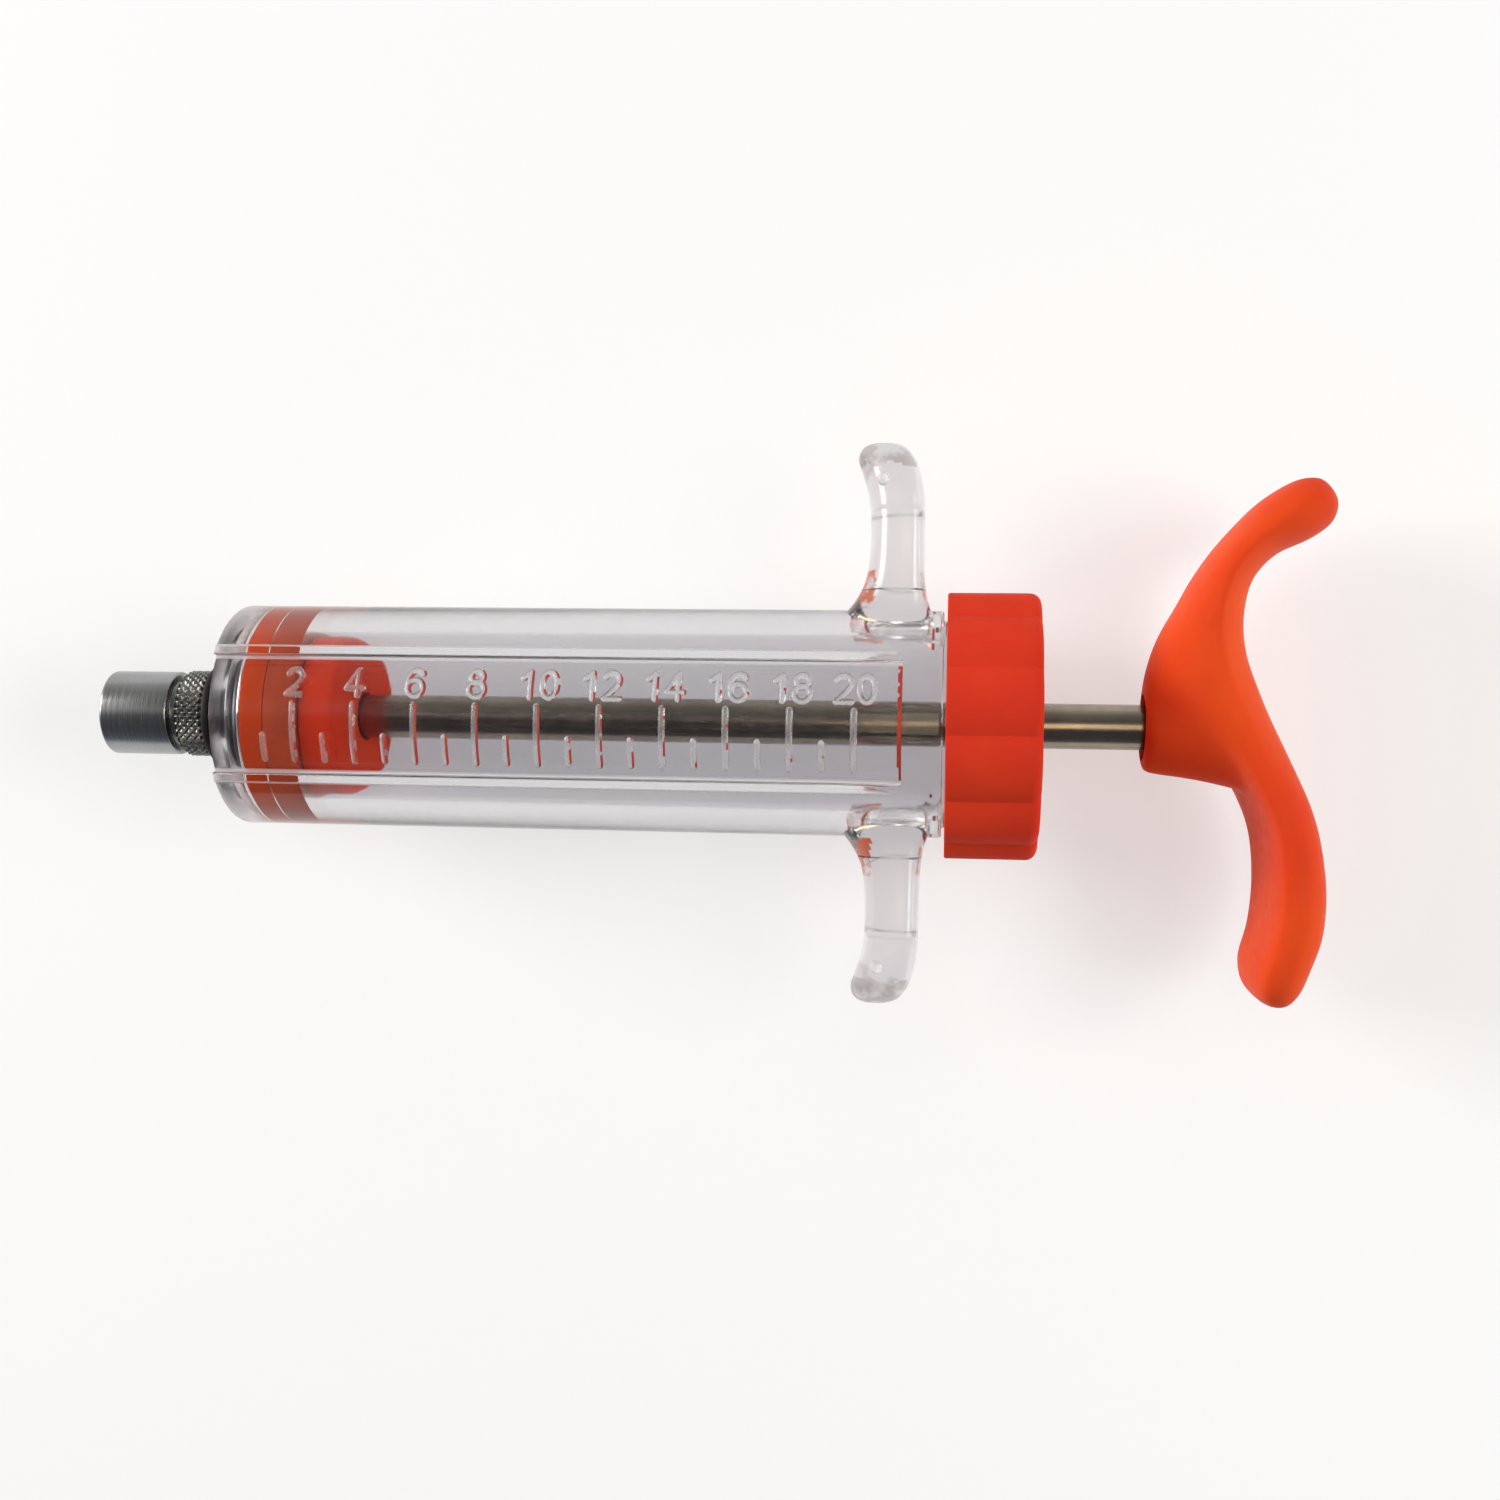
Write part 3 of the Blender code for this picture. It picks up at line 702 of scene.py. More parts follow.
def window_mesh():
    """Cutter for the scale window: its floor follows the bore and curves up at the foot of each rim."""
    corner = math.sqrt(FLOOR_R ** 2 - WINDOW_HALF ** 2)
    outline = [(-WINDOW_HALF, WINDOW_TOP)]
    half_angle = math.asin((WINDOW_HALF - FOOT_R) / FLOOR_R)
    floor = []
    for step in range(33):
        angle = half_angle * (step / 16 - 1)
        floor.append((FLOOR_R * math.sin(angle), FLOOR_R * math.cos(angle)))
    foot = []
    for step in range(1, 7):
        t = step / 6
        start = Vector(floor[-1])
        end = Vector((WINDOW_HALF, corner + FOOT_R * 1.3))
        middle = Vector((WINDOW_HALF, corner))
        point = start * (1 - t) ** 2 + middle * 2 * t * (1 - t) + end * t ** 2
        foot.append((point.x, point.y))
    outline += [(-y, z) for y, z in reversed(foot)]
    outline += floor
    outline += foot
    outline.append((WINDOW_HALF, WINDOW_TOP))
    start = NECK_FRONT + 0.4
    rows = 80
    stations = [start + (WINDOW_END - start) * row / rows for row in range(rows)]
    stations += [WINDOW_END - row for row in FILM_ROWS]
    stations.append(WINDOW_END)
    return lofted("window", [[(x, y, z) for y, z in outline] for x in stations])


def window_finishes(mesh):
    """Frost the foot of each rim as a pale painted highlight line, and leave films of paint beside the step
    wall and near the rear edge.
    """
    for face in mesh.polygons:
        x = (face.center.x - DATUM_X) / MM
        y = abs(face.center.y) / MM
        height = (face.center.z - AXIS_Z) / MM
        r = math.hypot(y, height)
        patch = noise.noise(face.center * PAINT_GRAIN)
        if height < 0 or r < FLOOR_R - 0.1:
            continue
        if SEAM_FRONT < x < SEAM_REAR and r > BARREL_R - 0.1 and y > 6.0 and patch > 0.2:
            face.material_index = PAINTED
        elif x > WINDOW_END or y > WINDOW_HALF + 0.01:
            continue
        # the frosted foot of each rim is a painted highlight line
        elif y > WINDOW_HALF - FOOT_R and r < FLOOR_R + FOOT_R * 1.6:
            face.material_index = FROSTED_AND_PAINTED_HIGHLIGHT
        elif r < FLOOR_R + 0.1 and x > WINDOW_END - (FILM_ROWS[0] if patch > -0.2 else FILM_ROWS[1]):
            face.material_index = PAINTED


def rim_mesh(side):
    """A raised rim along one side of the scale window, fading into the barrel before the step wall."""
    inner = WINDOW_HALF
    outer = WINDOW_HALF + RIM_WIDTH
    stations = (
        (BARREL_FRONT + 0.15, RIM_TOP - 0.7),
        (BARREL_FRONT + 0.35, RIM_TOP - 0.25),
        (BARREL_FRONT + 0.8, RIM_TOP),
        (-14.0, RIM_TOP),
        (-9.0, RIM_TOP - 0.1),
        (-5.4, RIM_TOP - 0.5),
    )
    sections = []
    for x, top in stations:
        corners = [
            (inner, RIM_BOTTOM, 0),
            (inner, top, 0.3),
            (outer, top - 0.15, 0.3),
            (outer, RIM_BOTTOM, 0),
        ]
        outline = filleted(corners, 6)
        sections.append([(x, side * y, z) for y, z in outline])
    mesh = lofted("rim", sections, 30)
    # the rim's rounded edges are frosted to paint pale highlight lines along them
    for face in mesh.polygons:
        if 0.15 < face.normal.z < 0.97 and abs(face.normal.x) < 0.5:
            face.material_index = FROSTED_AND_PAINTED_HIGHLIGHT
    return mesh


def thread_mesh():
    """The spigot's helical thread under the end cap."""
    bm = bmesh.new()
    steps = 96
    start, end = THREAD_SPAN
    root = THREAD_ROOT_R - 0.2
    turns = (end - start) / THREAD_PITCH
    count = int(turns * steps)
    rings = []
    for step in range(count + 1):
        angle = 2 * math.pi * step / steps
        x = start + THREAD_PITCH * step / steps
        ramp = min(1.0, 6.0 * step / count, 6.0 * (count - step) / count)
        crest = THREAD_ROOT_R + (THREAD_CREST_R - THREAD_ROOT_R) * ramp
        ring = []
        for along, r in ((-0.85, root), (-0.3, crest), (0.3, crest), (0.85, root)):
            ring.append(bm.verts.new(at(x + along, r * math.sin(angle), r * math.cos(angle))))
        rings.append(ring)
    for first, second in zip(rings, rings[1:]):
        bridge(bm, first, second)
    bm.faces.new(rings[0])
    bm.faces.new(rings[-1])
    return finish_mesh("thread", bm, 25)


def scale_x(millilitres):
    """Where a volume stands on the scale: the piston's front face reads it."""
    return BORE_FRONT + millilitres * ML_STEP


def on_floor(x, y, height):
    """A point above the window's curved floor; y is measured straight across."""
    lean = math.asin(max(-1.0, min(1.0, y / FLOOR_R)))
    r = FLOOR_R + height
    return at(x, r * math.sin(lean), r * math.cos(lean))


def bead_section(bm, centre, across, size):
    """One ring of a bead's outline: a half ellipse above the floor and a root below it."""
    points = [(BEAD_HALF, -BEAD_ROOT)]
    for step in range(9):
        angle = math.radians(27 * step - 18)
        points.append((BEAD_HALF * math.cos(angle), BEAD_HEIGHT * math.sin(angle)))
    points.append((-BEAD_HALF, -BEAD_ROOT))
    ring = []
    for side, height in points:
        flat = centre + across * side * size
        raised = height * size if height > 0 else height
        ring.append(bm.verts.new(on_floor(flat.x, flat.y, raised)))
    return ring


def add_bead(bm, path, closed=False):
    """A rounded bead along a path of (x, y) points on the window's floor."""
    points = [Vector(point) for point in path]
    count = len(points)
    middle = []
    directions = []
    for index, point in enumerate(points):
        before = points[index - 1] if closed or index > 0 else point
        after = points[(index + 1) % count] if closed or index < count - 1 else point
        along = (after - before).normalized()
        directions.append(along)
        middle.append((point, Vector((along.y, -along.x)), 1.0))
    if closed:
        made = [bead_section(bm, *ring) for ring in middle]
        for index, ring in enumerate(made):
            bridge(bm, ring, made[(index + 1) % count])
        return
    ends = []
    for step in (3, 2, 1):
        lift = math.pi / 2 * step / 3.2
        ends.append((BEAD_HALF * math.sin(lift), math.cos(lift)))
    first, last = middle[0], middle[-1]
    head = [(first[0] - directions[0] * reach, first[1], scale) for reach, scale in ends]
    tail = [(last[0] + directions[-1] * reach, last[1], scale) for reach, scale in reversed(ends)]
    made = [bead_section(bm, *ring) for ring in head + middle + tail]
    for first, second in zip(made, made[1:]):
        bridge(bm, first, second)
    bm.faces.new(made[0])
    bm.faces.new(made[-1])


def line(start, end, steps=8):
    """Evenly spaced points on a straight line."""
    return [(start[0] + (end[0] - start[0]) * t, start[1] + (end[1] - start[1]) * t)
            for t in (step / steps for step in range(steps + 1))]


def arc(centre, radii, start_deg, end_deg, steps):
    """Points on an ellipse's arc, with angles from +x towards +y."""
    points = []
    for step in range(steps + 1):
        angle = math.radians(start_deg + (end_deg - start_deg) * step / steps)
        points.append((centre[0] + radii[0] * math.cos(angle), centre[1] + radii[1] * math.sin(angle)))
    return points


def digit_strokes(digit):
    """The strokes of 0, 1, 2, 4, 6 or 8 as (path, closed), from its middle and base, in millimetres."""
    if digit == "0":
        return [(arc((0, 1.34), (0.82, 1.34), 0, 360, 28)[:-1], True)]
    if digit == "1":
        return [(line((0.33, 0), (0.33, 2.62)), False), (line((-0.45, 2.05), (0.3, 2.6), 4), False)]
    if digit == "2":
        bow = arc((0, 1.9), (0.8, 0.78), 155, -35, 14)
        return [(bow + line((0.35, 1.05), (-0.72, 0.08), 5), False), (line((-0.8, 0), (0.82, 0), 5), False)]
    if digit == "4":
        return [
            (line((0.38, 0.02), (0.38, 2.64)), False),
            (line((0.33, 2.57), (-0.72, 0.9), 6), False),
            (line((-0.83, 0.75), (0.88, 0.77), 7), False),
        ]
    if digit == "6":
        tail = arc((0.12, 1.55), (0.94, 1.12), 48, 180, 12)
        return [(arc((0, 0.84), (0.82, 0.84), 0, 360, 24)[:-1], True), (tail + [(-0.82, 1.1)], False)]
    return [
        (arc((0, 0.78), (0.84, 0.78), 0, 360, 24)[:-1], True),
        (arc((0, 2.05), (0.66, 0.62), 0, 360, 20)[:-1], True),
    ]


def marks_mesh():
    """Twenty raised marks, long at the even volumes."""
    bm = bmesh.new()
    for volume in range(1, 21):
        low, high = LONG_MARK if volume % 2 == 0 else SHORT_MARK
        x = scale_x(volume)
        add_bead(bm, line((x, low + BEAD_HALF), (x, high - BEAD_HALF), 16))
    return finish_mesh("marks", bm, 60)


def numerals_meshes():
    """The numbers above the even marks, as three meshes in which no two strokes touch."""
    layers = [bmesh.new(), bmesh.new(), bmesh.new()]
    for volume in range(2, 21, 2):
        digits = str(volume)
        for place, digit in enumerate(digits):
            shift = DIGIT_SHIFT + (place - (len(digits) - 1) / 2) * DIGIT_PITCH
            middle = scale_x(volume) + shift
            for layer, (path, closed) in zip(layers, digit_strokes(digit)):
                add_bead(layer, [(middle + x, DIGIT_BASE + y) for x, y in path], closed)
    return [finish_mesh("numerals", layer, 60) for layer in layers]


def mark_finishes(mesh):
    """Make the raised marks milky, a painted highlight that whitens them, with paint left on the rear side
    of those in the scale's middle.
    """
    for face in mesh.polygons:
        face.material_index = MILKY_PAINTED_HIGHLIGHT
        x = (face.center.x - DATUM_X) / MM
        left = PAINT_LEVEL - abs(x - PAINT_MIDDLE) / PAINT_REACH
        if face.normal.x > PAINT_SLOPE and noise.noise(face.center * PAINT_GRAIN) < left:
            face.material_index = PAINTED
    return mesh


def make_barrel():
    """The whole clear moulding: body, window, rims, thread, wings, marks and numbers."""
    finishes = (
        clear_plastic("clear_barrel"),
        # the milky frost whitens the marks and numbers as a painted highlight
        clear_plastic("milky_marks_painted_highlight", 0.2),
        paint("scale_paint"),
        # frosted faces: painted highlight lines on the rims' edges and feet, real frost on the pin marks
        clear_plastic("frosted_edges_and_painted_highlight", 0.35),
        clear_plastic("stained_plastic", 0.08, STAIN_TINT),
        clear_plastic("worn_plastic", 0.2, WORN_TINT),
    )
    recess_front = local_box("nose_seal")[0].x - 0.1
    recess_r = FLANGE_R + 0.3
    corners = [
        (NECK_FRONT, NOSE_HOLE_R, 0.15),
        (NECK_FRONT, NECK_R, 0.6),
        (BARREL_FRONT, NECK_R, 0.35),
        (BARREL_FRONT, BARREL_R, 0.9),
        *[(BARREL_FRONT + 2.6 * row, BARREL_R, 0) for row in range(1, 30)],
        (SEAM_FRONT, BARREL_R, 0),
        (SEAM_REAR, BARREL_R, 0),
        (SHOULDER, BARREL_R, 0.7),
        (SHOULDER, THREAD_ROOT_R, 0.15),
        (SPIGOT_END, THREAD_ROOT_R, 0.35),
        (SPIGOT_END, BORE_R, 0.3),
        (BORE_FRONT, BORE_R, 0.45),
        (BORE_FRONT, recess_r, 0.1),
        (recess_front, recess_r, 0.1),
        (recess_front, NOSE_HOLE_R, 0.1),
    ]
    barrel = add_object("barrel_body", turned("barrel_body", filleted(corners), BARREL_SEGMENTS), finishes)
    combine(barrel, [window_mesh()], "DIFFERENCE")
    window_finishes(barrel.data)
    forms = [rim_mesh(1), rim_mesh(-1), thread_mesh()]
    for side in (1, -1):
        forms.append(wing_mesh(side))
        forms.append(pin_mark_mesh(side))
    for mesh in [marks_mesh(), *numerals_meshes()]:
        forms.append(mark_finishes(mesh))
    combine(barrel, forms, "UNION")
    barrel.data.shade_smooth()
    barrel.data.set_sharp_from_angle(angle=math.radians(28))
    piece(barrel, "root", "clear_barrel", "barrel")


# ---------------------------------------------------------------- nose, piston and rod

def plain_ring(bm, x, r, count):
    """A circle of vertices about the axis."""
    angles = [2 * math.pi * step / count for step in range(count)]
    return [bm.verts.new(at(x, r * math.sin(angle), r * math.cos(angle))) for angle in angles]


def knurl_mesh():
    """The knurled ring: crossed V grooves cut into a ring between two bevels."""
    around = KNURL_TEETH * 10
    rows = 30
    pitch = 2 * math.pi * KNURL_R / KNURL_TEETH
    rim = KNURL_R - KNURL_BEVEL
    bm = bmesh.new()
    rings = [plain_ring(bm, KNURL_FRONT, RING_BORE_R, around), plain_ring(bm, KNURL_FRONT, rim, around)]
    for row in range(rows + 1):
        x = KNURL_FRONT + 0.12 + (KNURL_REAR - KNURL_FRONT - 0.24) * row / rows
        edge = min(row, rows - row) / rows
        ring = []
        for step in range(around):
            angle = 2 * math.pi * step / around
            along = (x - KNURL_FRONT) / pitch
            turn = angle * KNURL_TEETH / (2 * math.pi)
            rise = abs((turn + along) % 1.0 - 0.5) * 2
            fall = abs((turn - along) % 1.0 - 0.5) * 2
            groove = KNURL_DEPTH * max(rise, fall) ** 1.5
            r = KNURL_R - groove - 0.3 * max(0.0, 0.08 - edge) / 0.08
            ring.append(bm.verts.new(at(x, r * math.sin(angle), r * math.cos(angle))))
        rings.append(ring)
    rings.append(plain_ring(bm, KNURL_REAR, rim, around))
    rings.append(plain_ring(bm, KNURL_REAR, RING_BORE_R, around))
    for index, ring in enumerate(rings):
        bridge(bm, ring, rings[(index + 1) % len(rings)])
    return finish_mesh("knurled_ring_fine", bm, 40)


def make_nose(black):
    """The luer collar, the hollow bolt, the knurled ring, the gasket and the hidden seal."""
    steel = worked_steel("nose_steel", *NOSE_STEEL, 0.24, 0.04)
    knurl_steel = worked_steel("knurl_steel", *KNURL_STEEL, 0.3, 0.1)
    groove_front = COLLAR_REAR - COLLAR_GROOVE_WIDTH
    collar = [
        (NOSE_FRONT, MOUTH_R, 0.2),
        (NOSE_FRONT, COLLAR_R, 0.35),
        (groove_front, COLLAR_R, 0.3),
        (groove_front, COLLAR_GROOVE_R, 0.1),
        (COLLAR_REAR, COLLAR_GROOVE_R, 0.1),
        (COLLAR_REAR, RING_BORE_R, 0.1),
        (MOUTH_FLOOR, RING_BORE_R, 0.1),
        (MOUTH_FLOOR, MOUTH_R, 0.2),
    ]
    turned_piece("luer_sleeve", collar, steel, "root", "nose_steel", "luer_collar")
    flange_front = FLANGE_REAR - FLANGE_THICKNESS
    tip = [
        (TIP_FRONT, TIP_BORE_R, 0.08),
        (TIP_FRONT, TIP_R, 0.15),
        (MOUTH_FLOOR, TIP_R + TIP_TAPER * (MOUTH_FLOOR - TIP_FRONT), 0.1),
        (MOUTH_FLOOR, SHANK_R, 0.1),
        (flange_front, SHANK_R, 0.1),
        (flange_front, FLANGE_R, 0.15),
        (FLANGE_REAR, FLANGE_R, 0.2),
        (FLANGE_REAR, TIP_BORE_R, 0.1),
    ]
    turned_piece("luer_bolt", tip, steel, "root", "nose_steel", "luer_tip")
    knurled = add_object("knurled_ring_fine", knurl_mesh(), (knurl_steel,))
    piece(knurled, "root", "nose_steel", "knurled_ring")
    gasket = ring_corners(GASKET_FRONT, GASKET_REAR, RING_BORE_R, GASKET_R, 0.35)
    turned_piece("nose_gasket_ring", gasket, black, "root", "black_rubber", "nose_gasket", 6)
    make_washer("nose_seal_ring", "nose_seal", RING_BORE_R, "root", black)


def make_washer(name, node, inner, body, black):
    """A flat rubber ring in place of a CAD node."""
    low, high = local_box(node)
    ring = ring_corners(low.x, high.x, inner, high.y, 0.15)
    turned_piece(name, ring, black, body, "black_rubber", node)


def make_piston():
    """The front plate with its nut, the seal that the plate squeezes, and the rear cup."""
    # the front plate gets a darker copy of the cup's orange, painted shade
    plate_orange_painted_shade = orange_plastic("plate_plastic_painted_shade", *PLATE_ORANGE_PAINTED_SHADE, 0.45)
    cup_orange = orange_plastic("cup_plastic", *CUP_ORANGE, 0.45)
    brown = rubber("seal_rubber", SEAL_BROWN, 0.6)
    steel = worked_steel("nut_steel", *NUT_STEEL, 0.3, 0.2)
    contact = BORE_R + OVERLAP
    plate = [
        (PLATE_FRONT, 0, 0),
        (PLATE_FRONT, contact, 0.5),
        (PLATE_REAR, contact, 0.04),
        (PLATE_REAR, NUT_POCKET_R, 0.1),
        (NUT_POCKET_FRONT, NUT_POCKET_R, 0.1),
        (NUT_POCKET_FRONT, PISTON_HOLE_R, 0.1),
        (PLATE_HOLE_FRONT, PISTON_HOLE_R, 0.1),
        (PLATE_HOLE_FRONT, 0, 0),
    ]
    turned_piece("front_disc", plate, plate_orange_painted_shade, "front_plate", "piston_plastic", "piston_front_plate")
    low, high = local_box("piston_nut")
    nut = ring_corners(low.x, high.x, PISTON_HOLE_R, NUT_R, 0.2)
    turned_piece("piston_nut_hex", nut, steel, "front_plate", "rod_steel", "piston_nut", 3, 6)
    seal = [
        (SEAL_FRONT, PISTON_HOLE_R, 0.1),
        (SEAL_FRONT, contact, 0.04),
        (SEAL_REAR, contact, 0.25),
        (SEAL_REAR, PISTON_HOLE_R, 0.1),
    ]
    ring = turned_piece("seal_ring", seal, brown, "piston", "seal_rubber", "piston_seal")
    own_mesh(ring)
    cup = [
        (CUP_FRONT, PISTON_HOLE_R, 0.1),
        (CUP_FRONT, CUP_R, 0.3),
        (CUP_REAR, CUP_R, 1.3),
        (CUP_REAR, CUP_SEAT_R, 0.25),
        (CUP_SEAT, CUP_SEAT_R, 0.1),
        (CUP_SEAT, PISTON_HOLE_R, 0.1),
    ]
    turned_piece("rear_disc", cup, cup_orange, "piston", "piston_plastic", "piston_rear_cup", 8)


def make_rod():
    """The drawn rod, thinner at its threaded tip and in the handle."""
    steel = worked_steel("rod_steel", *ROD_STEEL, 0.2, 0.15, (0.12, 3.0, 3.0))
    rod = [
        (ROD_FRONT, 0, 0),
        (ROD_FRONT, ROD_THREAD_R, 0.2),
        (ROD_SHOULDER, ROD_THREAD_R, 0.1),
        (ROD_SHOULDER, ROD_R, 0.2),
        (ROD_TAIL, ROD_R, 0.2),
        (ROD_TAIL, ROD_TAIL_R, 0.1),
        (ROD_REAR, ROD_TAIL_R, 0.2),
        (ROD_REAR, 0, 0),
    ]
    turned_piece("plunger_rod", rod, steel, "plunger", "rod_steel", "rod", segments=96)


# ---------------------------------------------------------------- cap and handle

def lobe_radius(angle):
    """Radius of the end cap's outline: convex arcs that meet in sharp creases."""
    half = math.pi / LOBES
    crease_along = LOBE_CREASE_R * math.cos(half)
    crease_across = LOBE_CREASE_R * math.sin(half)
    centre = (LOBE_PEAK_R ** 2 - crease_along ** 2 - crease_across ** 2) / (2 * (LOBE_PEAK_R - crease_along))
    lobe_r = LOBE_PEAK_R - centre
    swing = (angle - math.radians(LOBE_TURN_DEG) + half) % (2 * half) - half
    return centre * math.cos(swing) + math.sqrt(lobe_r ** 2 - (centre * math.sin(swing)) ** 2)


def shrunk(by):
    """The lobed outline drawn in by a distance, as a function of the angle."""
    return lambda angle: lobe_radius(angle) - by


def make_end_cap(black):
    """The lobed screw cap, rounded front and rear, and its gasket."""
    orange = orange_plastic("cap_orange", *CAP_ORANGE, 0.45)
    start = math.radians(LOBE_TURN_DEG) - math.pi / LOBES
    count = LOBES * LOBE_POINTS
    angles = [start + 2 * math.pi * step / count for step in range(count)]
    profile = [(CAP_FRONT + 0.25, CAP_BORE_R), (CAP_FRONT, CAP_BORE_R + 0.25)]
    for turn in range(5):
        lean = math.pi / 2 * turn / 4
        along = CAP_FRONT + CAP_FRONT_ROUND * (1 - math.cos(lean))
        profile.append((along, shrunk(CAP_FRONT_ROUND * (1 - math.sin(lean)))))
    for turn in range(9):
        lean = math.pi / 2 * turn / 8
        along = CAP_REAR - CAP_REAR_ROUND * (1 - math.sin(lean))
        profile.append((along, shrunk(CAP_REAR_ROUND * (1 - math.cos(lean)))))
    profile += [
        (CAP_REAR, CAP_HOLE_R + 0.4),
        (CAP_REAR - 0.3, CAP_HOLE_R),
        (CAP_FLOOR, CAP_HOLE_R),
        (CAP_FLOOR, CAP_BORE_R),
    ]
    cap = add_object("screw_cap", turned("screw_cap", profile, angles=angles, sharp_deg=22), (orange,))
    piece(cap, "cap", "orange_plastic", "end_cap")
    make_washer("cap_gasket_ring", "cap_gasket", CAP_GASKET_BORE_R, "cap_carriage", black)


def palm_sections():
    """Sections of the palm rest across y, crowned on the palm side."""
    points = 96
    sections = []
    for y, barrel_side, widest, palm_side, half, barrel_power, palm_power in smooth_rows(PALM_STATIONS, 6):
        section = []
        for step in range(points):
            angle = 2 * math.pi * step / points
            if math.cos(angle) >= 0:
                x = widest + (palm_side - widest) * signed_power(math.cos(angle), palm_power)
                z = half * math.sin(angle)
            else:
                x = widest + (widest - barrel_side) * signed_power(math.cos(angle), barrel_power)
                z = half * signed_power(math.sin(angle), barrel_power)
            section.append((x, y, z))
        sections.append(section)
    return sections


def hub_sections():
    """Elliptical sections of the hub, from its mouth into the palm rest."""
    points = 96
    sections = []
    for x, half_y, half_z, slant in smooth_rows(HUB_STATIONS, 4):
        section = []
        for step in range(points):
            angle = 2 * math.pi * (step + 0.5) / points
            y = half_y * math.sin(angle)
            section.append((x + slant * y, y, half_z * math.cos(angle)))
        sections.append(section)
    return sections


def make_handle():
    """The palm rest and its hub, blended into each other, and the bush inside."""
    orange = orange_plastic("handle_orange", *HANDLE_ORANGE, 0.4)
    handle = add_object("palm_handle", lofted("palm_handle", palm_sections()), (orange,))
    combine(handle, [lofted("hub", hub_sections())], "UNION")
    remesh = handle.modifiers.new("remesh", "REMESH")
    remesh.mode = "VOXEL"
    remesh.voxel_size = HANDLE_VOXEL
    remesh.use_smooth_shade = True
    apply_modifiers(handle)
    blend = handle.vertex_groups.new(name="blend")
    for vert in handle.data.vertices:
        distance = (vert.co - at(*BLEND_CENTRE)).length / (BLEND_REACH * MM)
        blend.add([vert.index], max(0.0, min(1.0, 2.0 - 2.0 * distance)), "REPLACE")
    for iterations, group in ((HANDLE_SMOOTHING, ""), (BLEND_SMOOTHING, "blend")):
        smooth = handle.modifiers.new("smooth", "SMOOTH")
        smooth.factor = 0.5
        smooth.iterations = iterations
        smooth.vertex_group = group
    apply_modifiers(handle)
    hole = [
        (HUB_HOLE_START, 0, 0),
        (HUB_HOLE_START, HUB_HOLE_R, 0),
        (HUB_HOLE_END, HUB_HOLE_R, 0),
        (HUB_HOLE_END, 0, 0),
    ]
    combine(handle, [turned("hub_hole", filleted(hole), 96)], "DIFFERENCE")
    handle.data.shade_smooth()
    handle.data.set_sharp_from_angle(angle=math.radians(50))
    piece(handle, "plunger", "orange_plastic", "handle")
    brass = worked_steel("insert_brass", *BRASS, 0.3, 0.3)
    low, high = local_box("handle_insert")
    insert = ring_corners(low.x, high.x, INSERT_BORE_R, INSERT_R, 0.2)
    turned_piece("threaded_insert", insert, brass, "plunger", "insert_brass", "handle_insert", segments=64)


# ---------------------------------------------------------------- studio

def make_floor():
    """Pale paper that glows a little, so that it stays white without strong lamps."""
    bm = bmesh.new()
    bmesh.ops.create_grid(bm, x_segments=1, y_segments=1, size=FLOOR_SIZE)
    floor = add_object("floor", finish_mesh("floor", bm))
    nodes = Nodes("floor_paper")
    nodes.shader.inputs["Base Color"].default_value = (*FLOOR_SHADE, 1.0)
    nodes.shader.inputs["Roughness"].default_value = 0.9
    nodes.shader.inputs["Specular IOR Level"].default_value = 0.1
    nodes.shader.inputs["Emission Color"].default_value = (1.0, 1.0, 1.0, 1.0)
    nodes.shader.inputs["Emission Strength"].default_value = FLOOR_GLOW
    floor.data.materials.append(nodes.material)


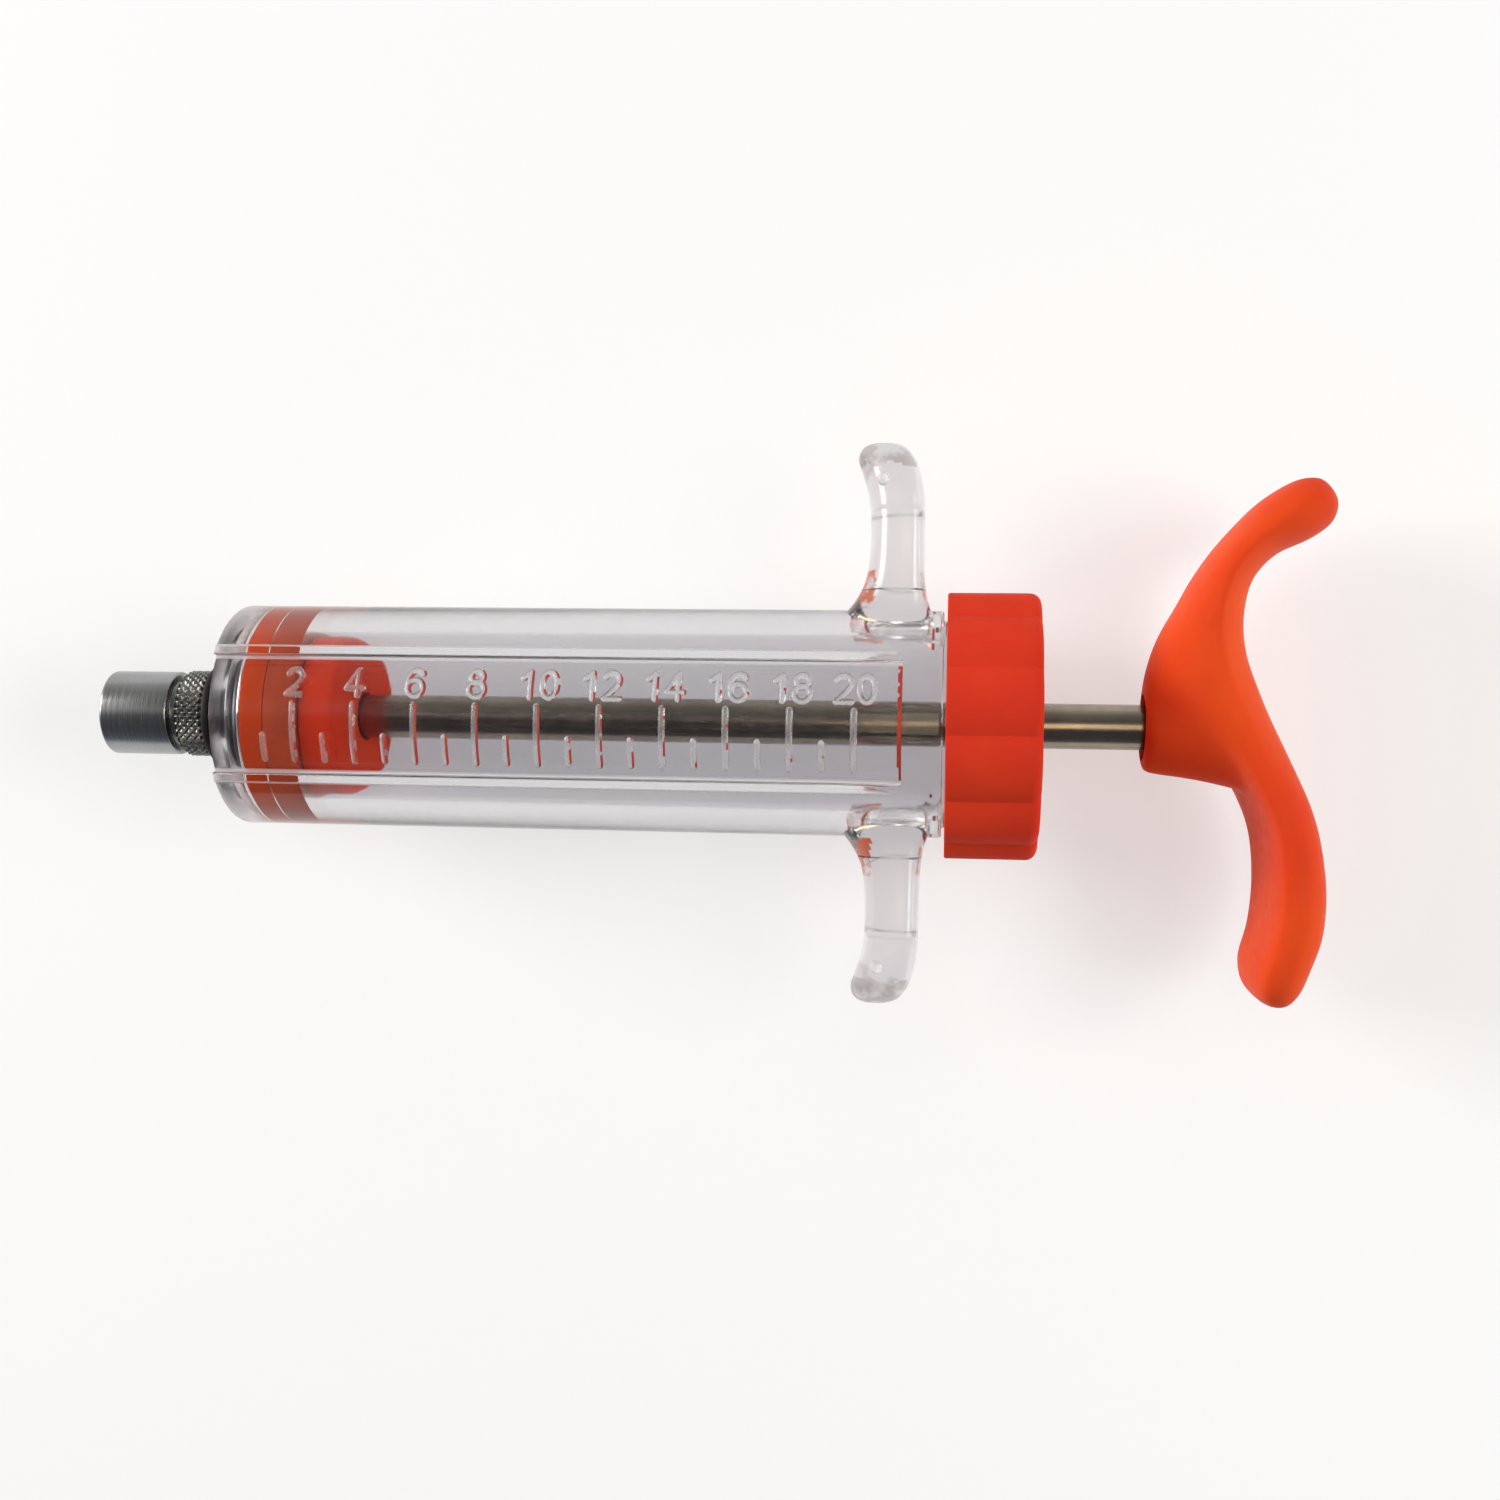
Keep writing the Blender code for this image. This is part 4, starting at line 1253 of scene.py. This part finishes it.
def add_lamp(name, place, aim_x, size, power, colour):
    """A square lamp at a place, aimed at a point of the barrel's axis; lengths are in metres."""
    data = bpy.data.lights.new(name, "AREA")
    data.shape = "SQUARE"
    data.size = size
    data.energy = power
    data.color = colour
    made = bpy.data.objects.new(name, data)
    bpy.context.scene.collection.objects.link(made)
    made.location = place
    aim = Vector((aim_x, 0.0, AXIS_Z)) - Vector(place)
    made.rotation_euler = aim.to_track_quat("-Z", "Y").to_euler()


def make_room():
    """A room that is bright near the horizon, dim overhead, and lighter behind +Y than behind -Y."""
    world = bpy.data.worlds.new("studio")
    bpy.context.scene.world = world
    world.use_nodes = True
    tree = world.node_tree
    split = tree.nodes.new("ShaderNodeSeparateXYZ")
    tree.links.new(tree.nodes.new("ShaderNodeTexCoord").outputs["Generated"], split.inputs[0])
    height = tree.nodes.new("ShaderNodeValToRGB")
    fill_ramp(height, [(position, (level, level, level)) for position, level in ROOM_STOPS])
    tree.links.new(split.outputs["Z"], height.inputs["Fac"])
    side = tree.nodes.new("ShaderNodeValToRGB")
    fill_ramp(side, ROOM_SIDES)
    across = tree.nodes.new("ShaderNodeMapRange")
    across.inputs["From Min"].default_value = -1.0
    tree.links.new(split.outputs["Y"], across.inputs["Value"])
    tree.links.new(across.outputs["Result"], side.inputs["Fac"])
    background = tree.nodes["Background"]
    tree.links.new(side.outputs["Color"], background.inputs["Color"])
    tree.links.new(height.outputs["Color"], background.inputs["Strength"])


def make_studio():
    """The floor, the lamps and the room, with colours shown as they are."""
    make_floor()
    for lamp in LAMPS:
        add_lamp(*lamp)
    make_room()
    view = bpy.context.scene.view_settings
    view.view_transform = "Standard"
    view.look = "None"
    view.exposure = 0.0


def make_camera():
    """A camera above the barrel, looking down and a little to one side."""
    data = bpy.data.cameras.new("camera")
    data.sensor_width = 36.0
    data.lens = CAMERA_LENS
    data.clip_start = 0.01
    data.clip_end = 10.0
    camera = bpy.data.objects.new("camera", data)
    bpy.context.scene.collection.objects.link(camera)
    camera.location = at(0, CAMERA_Y, CAMERA_HEIGHT)
    camera.rotation_euler = Euler([math.radians(value) for value in CAMERA_TILT_DEG], "XYZ")
    bpy.context.scene.camera = camera


def main():
    """Set the stage and make every piece."""
    make_camera()
    make_studio()
    make_barrel()
    black = rubber("black_rubber", BLACK, 0.45)
    make_nose(black)
    make_piston()
    make_rod()
    make_end_cap(black)
    make_handle()


main()
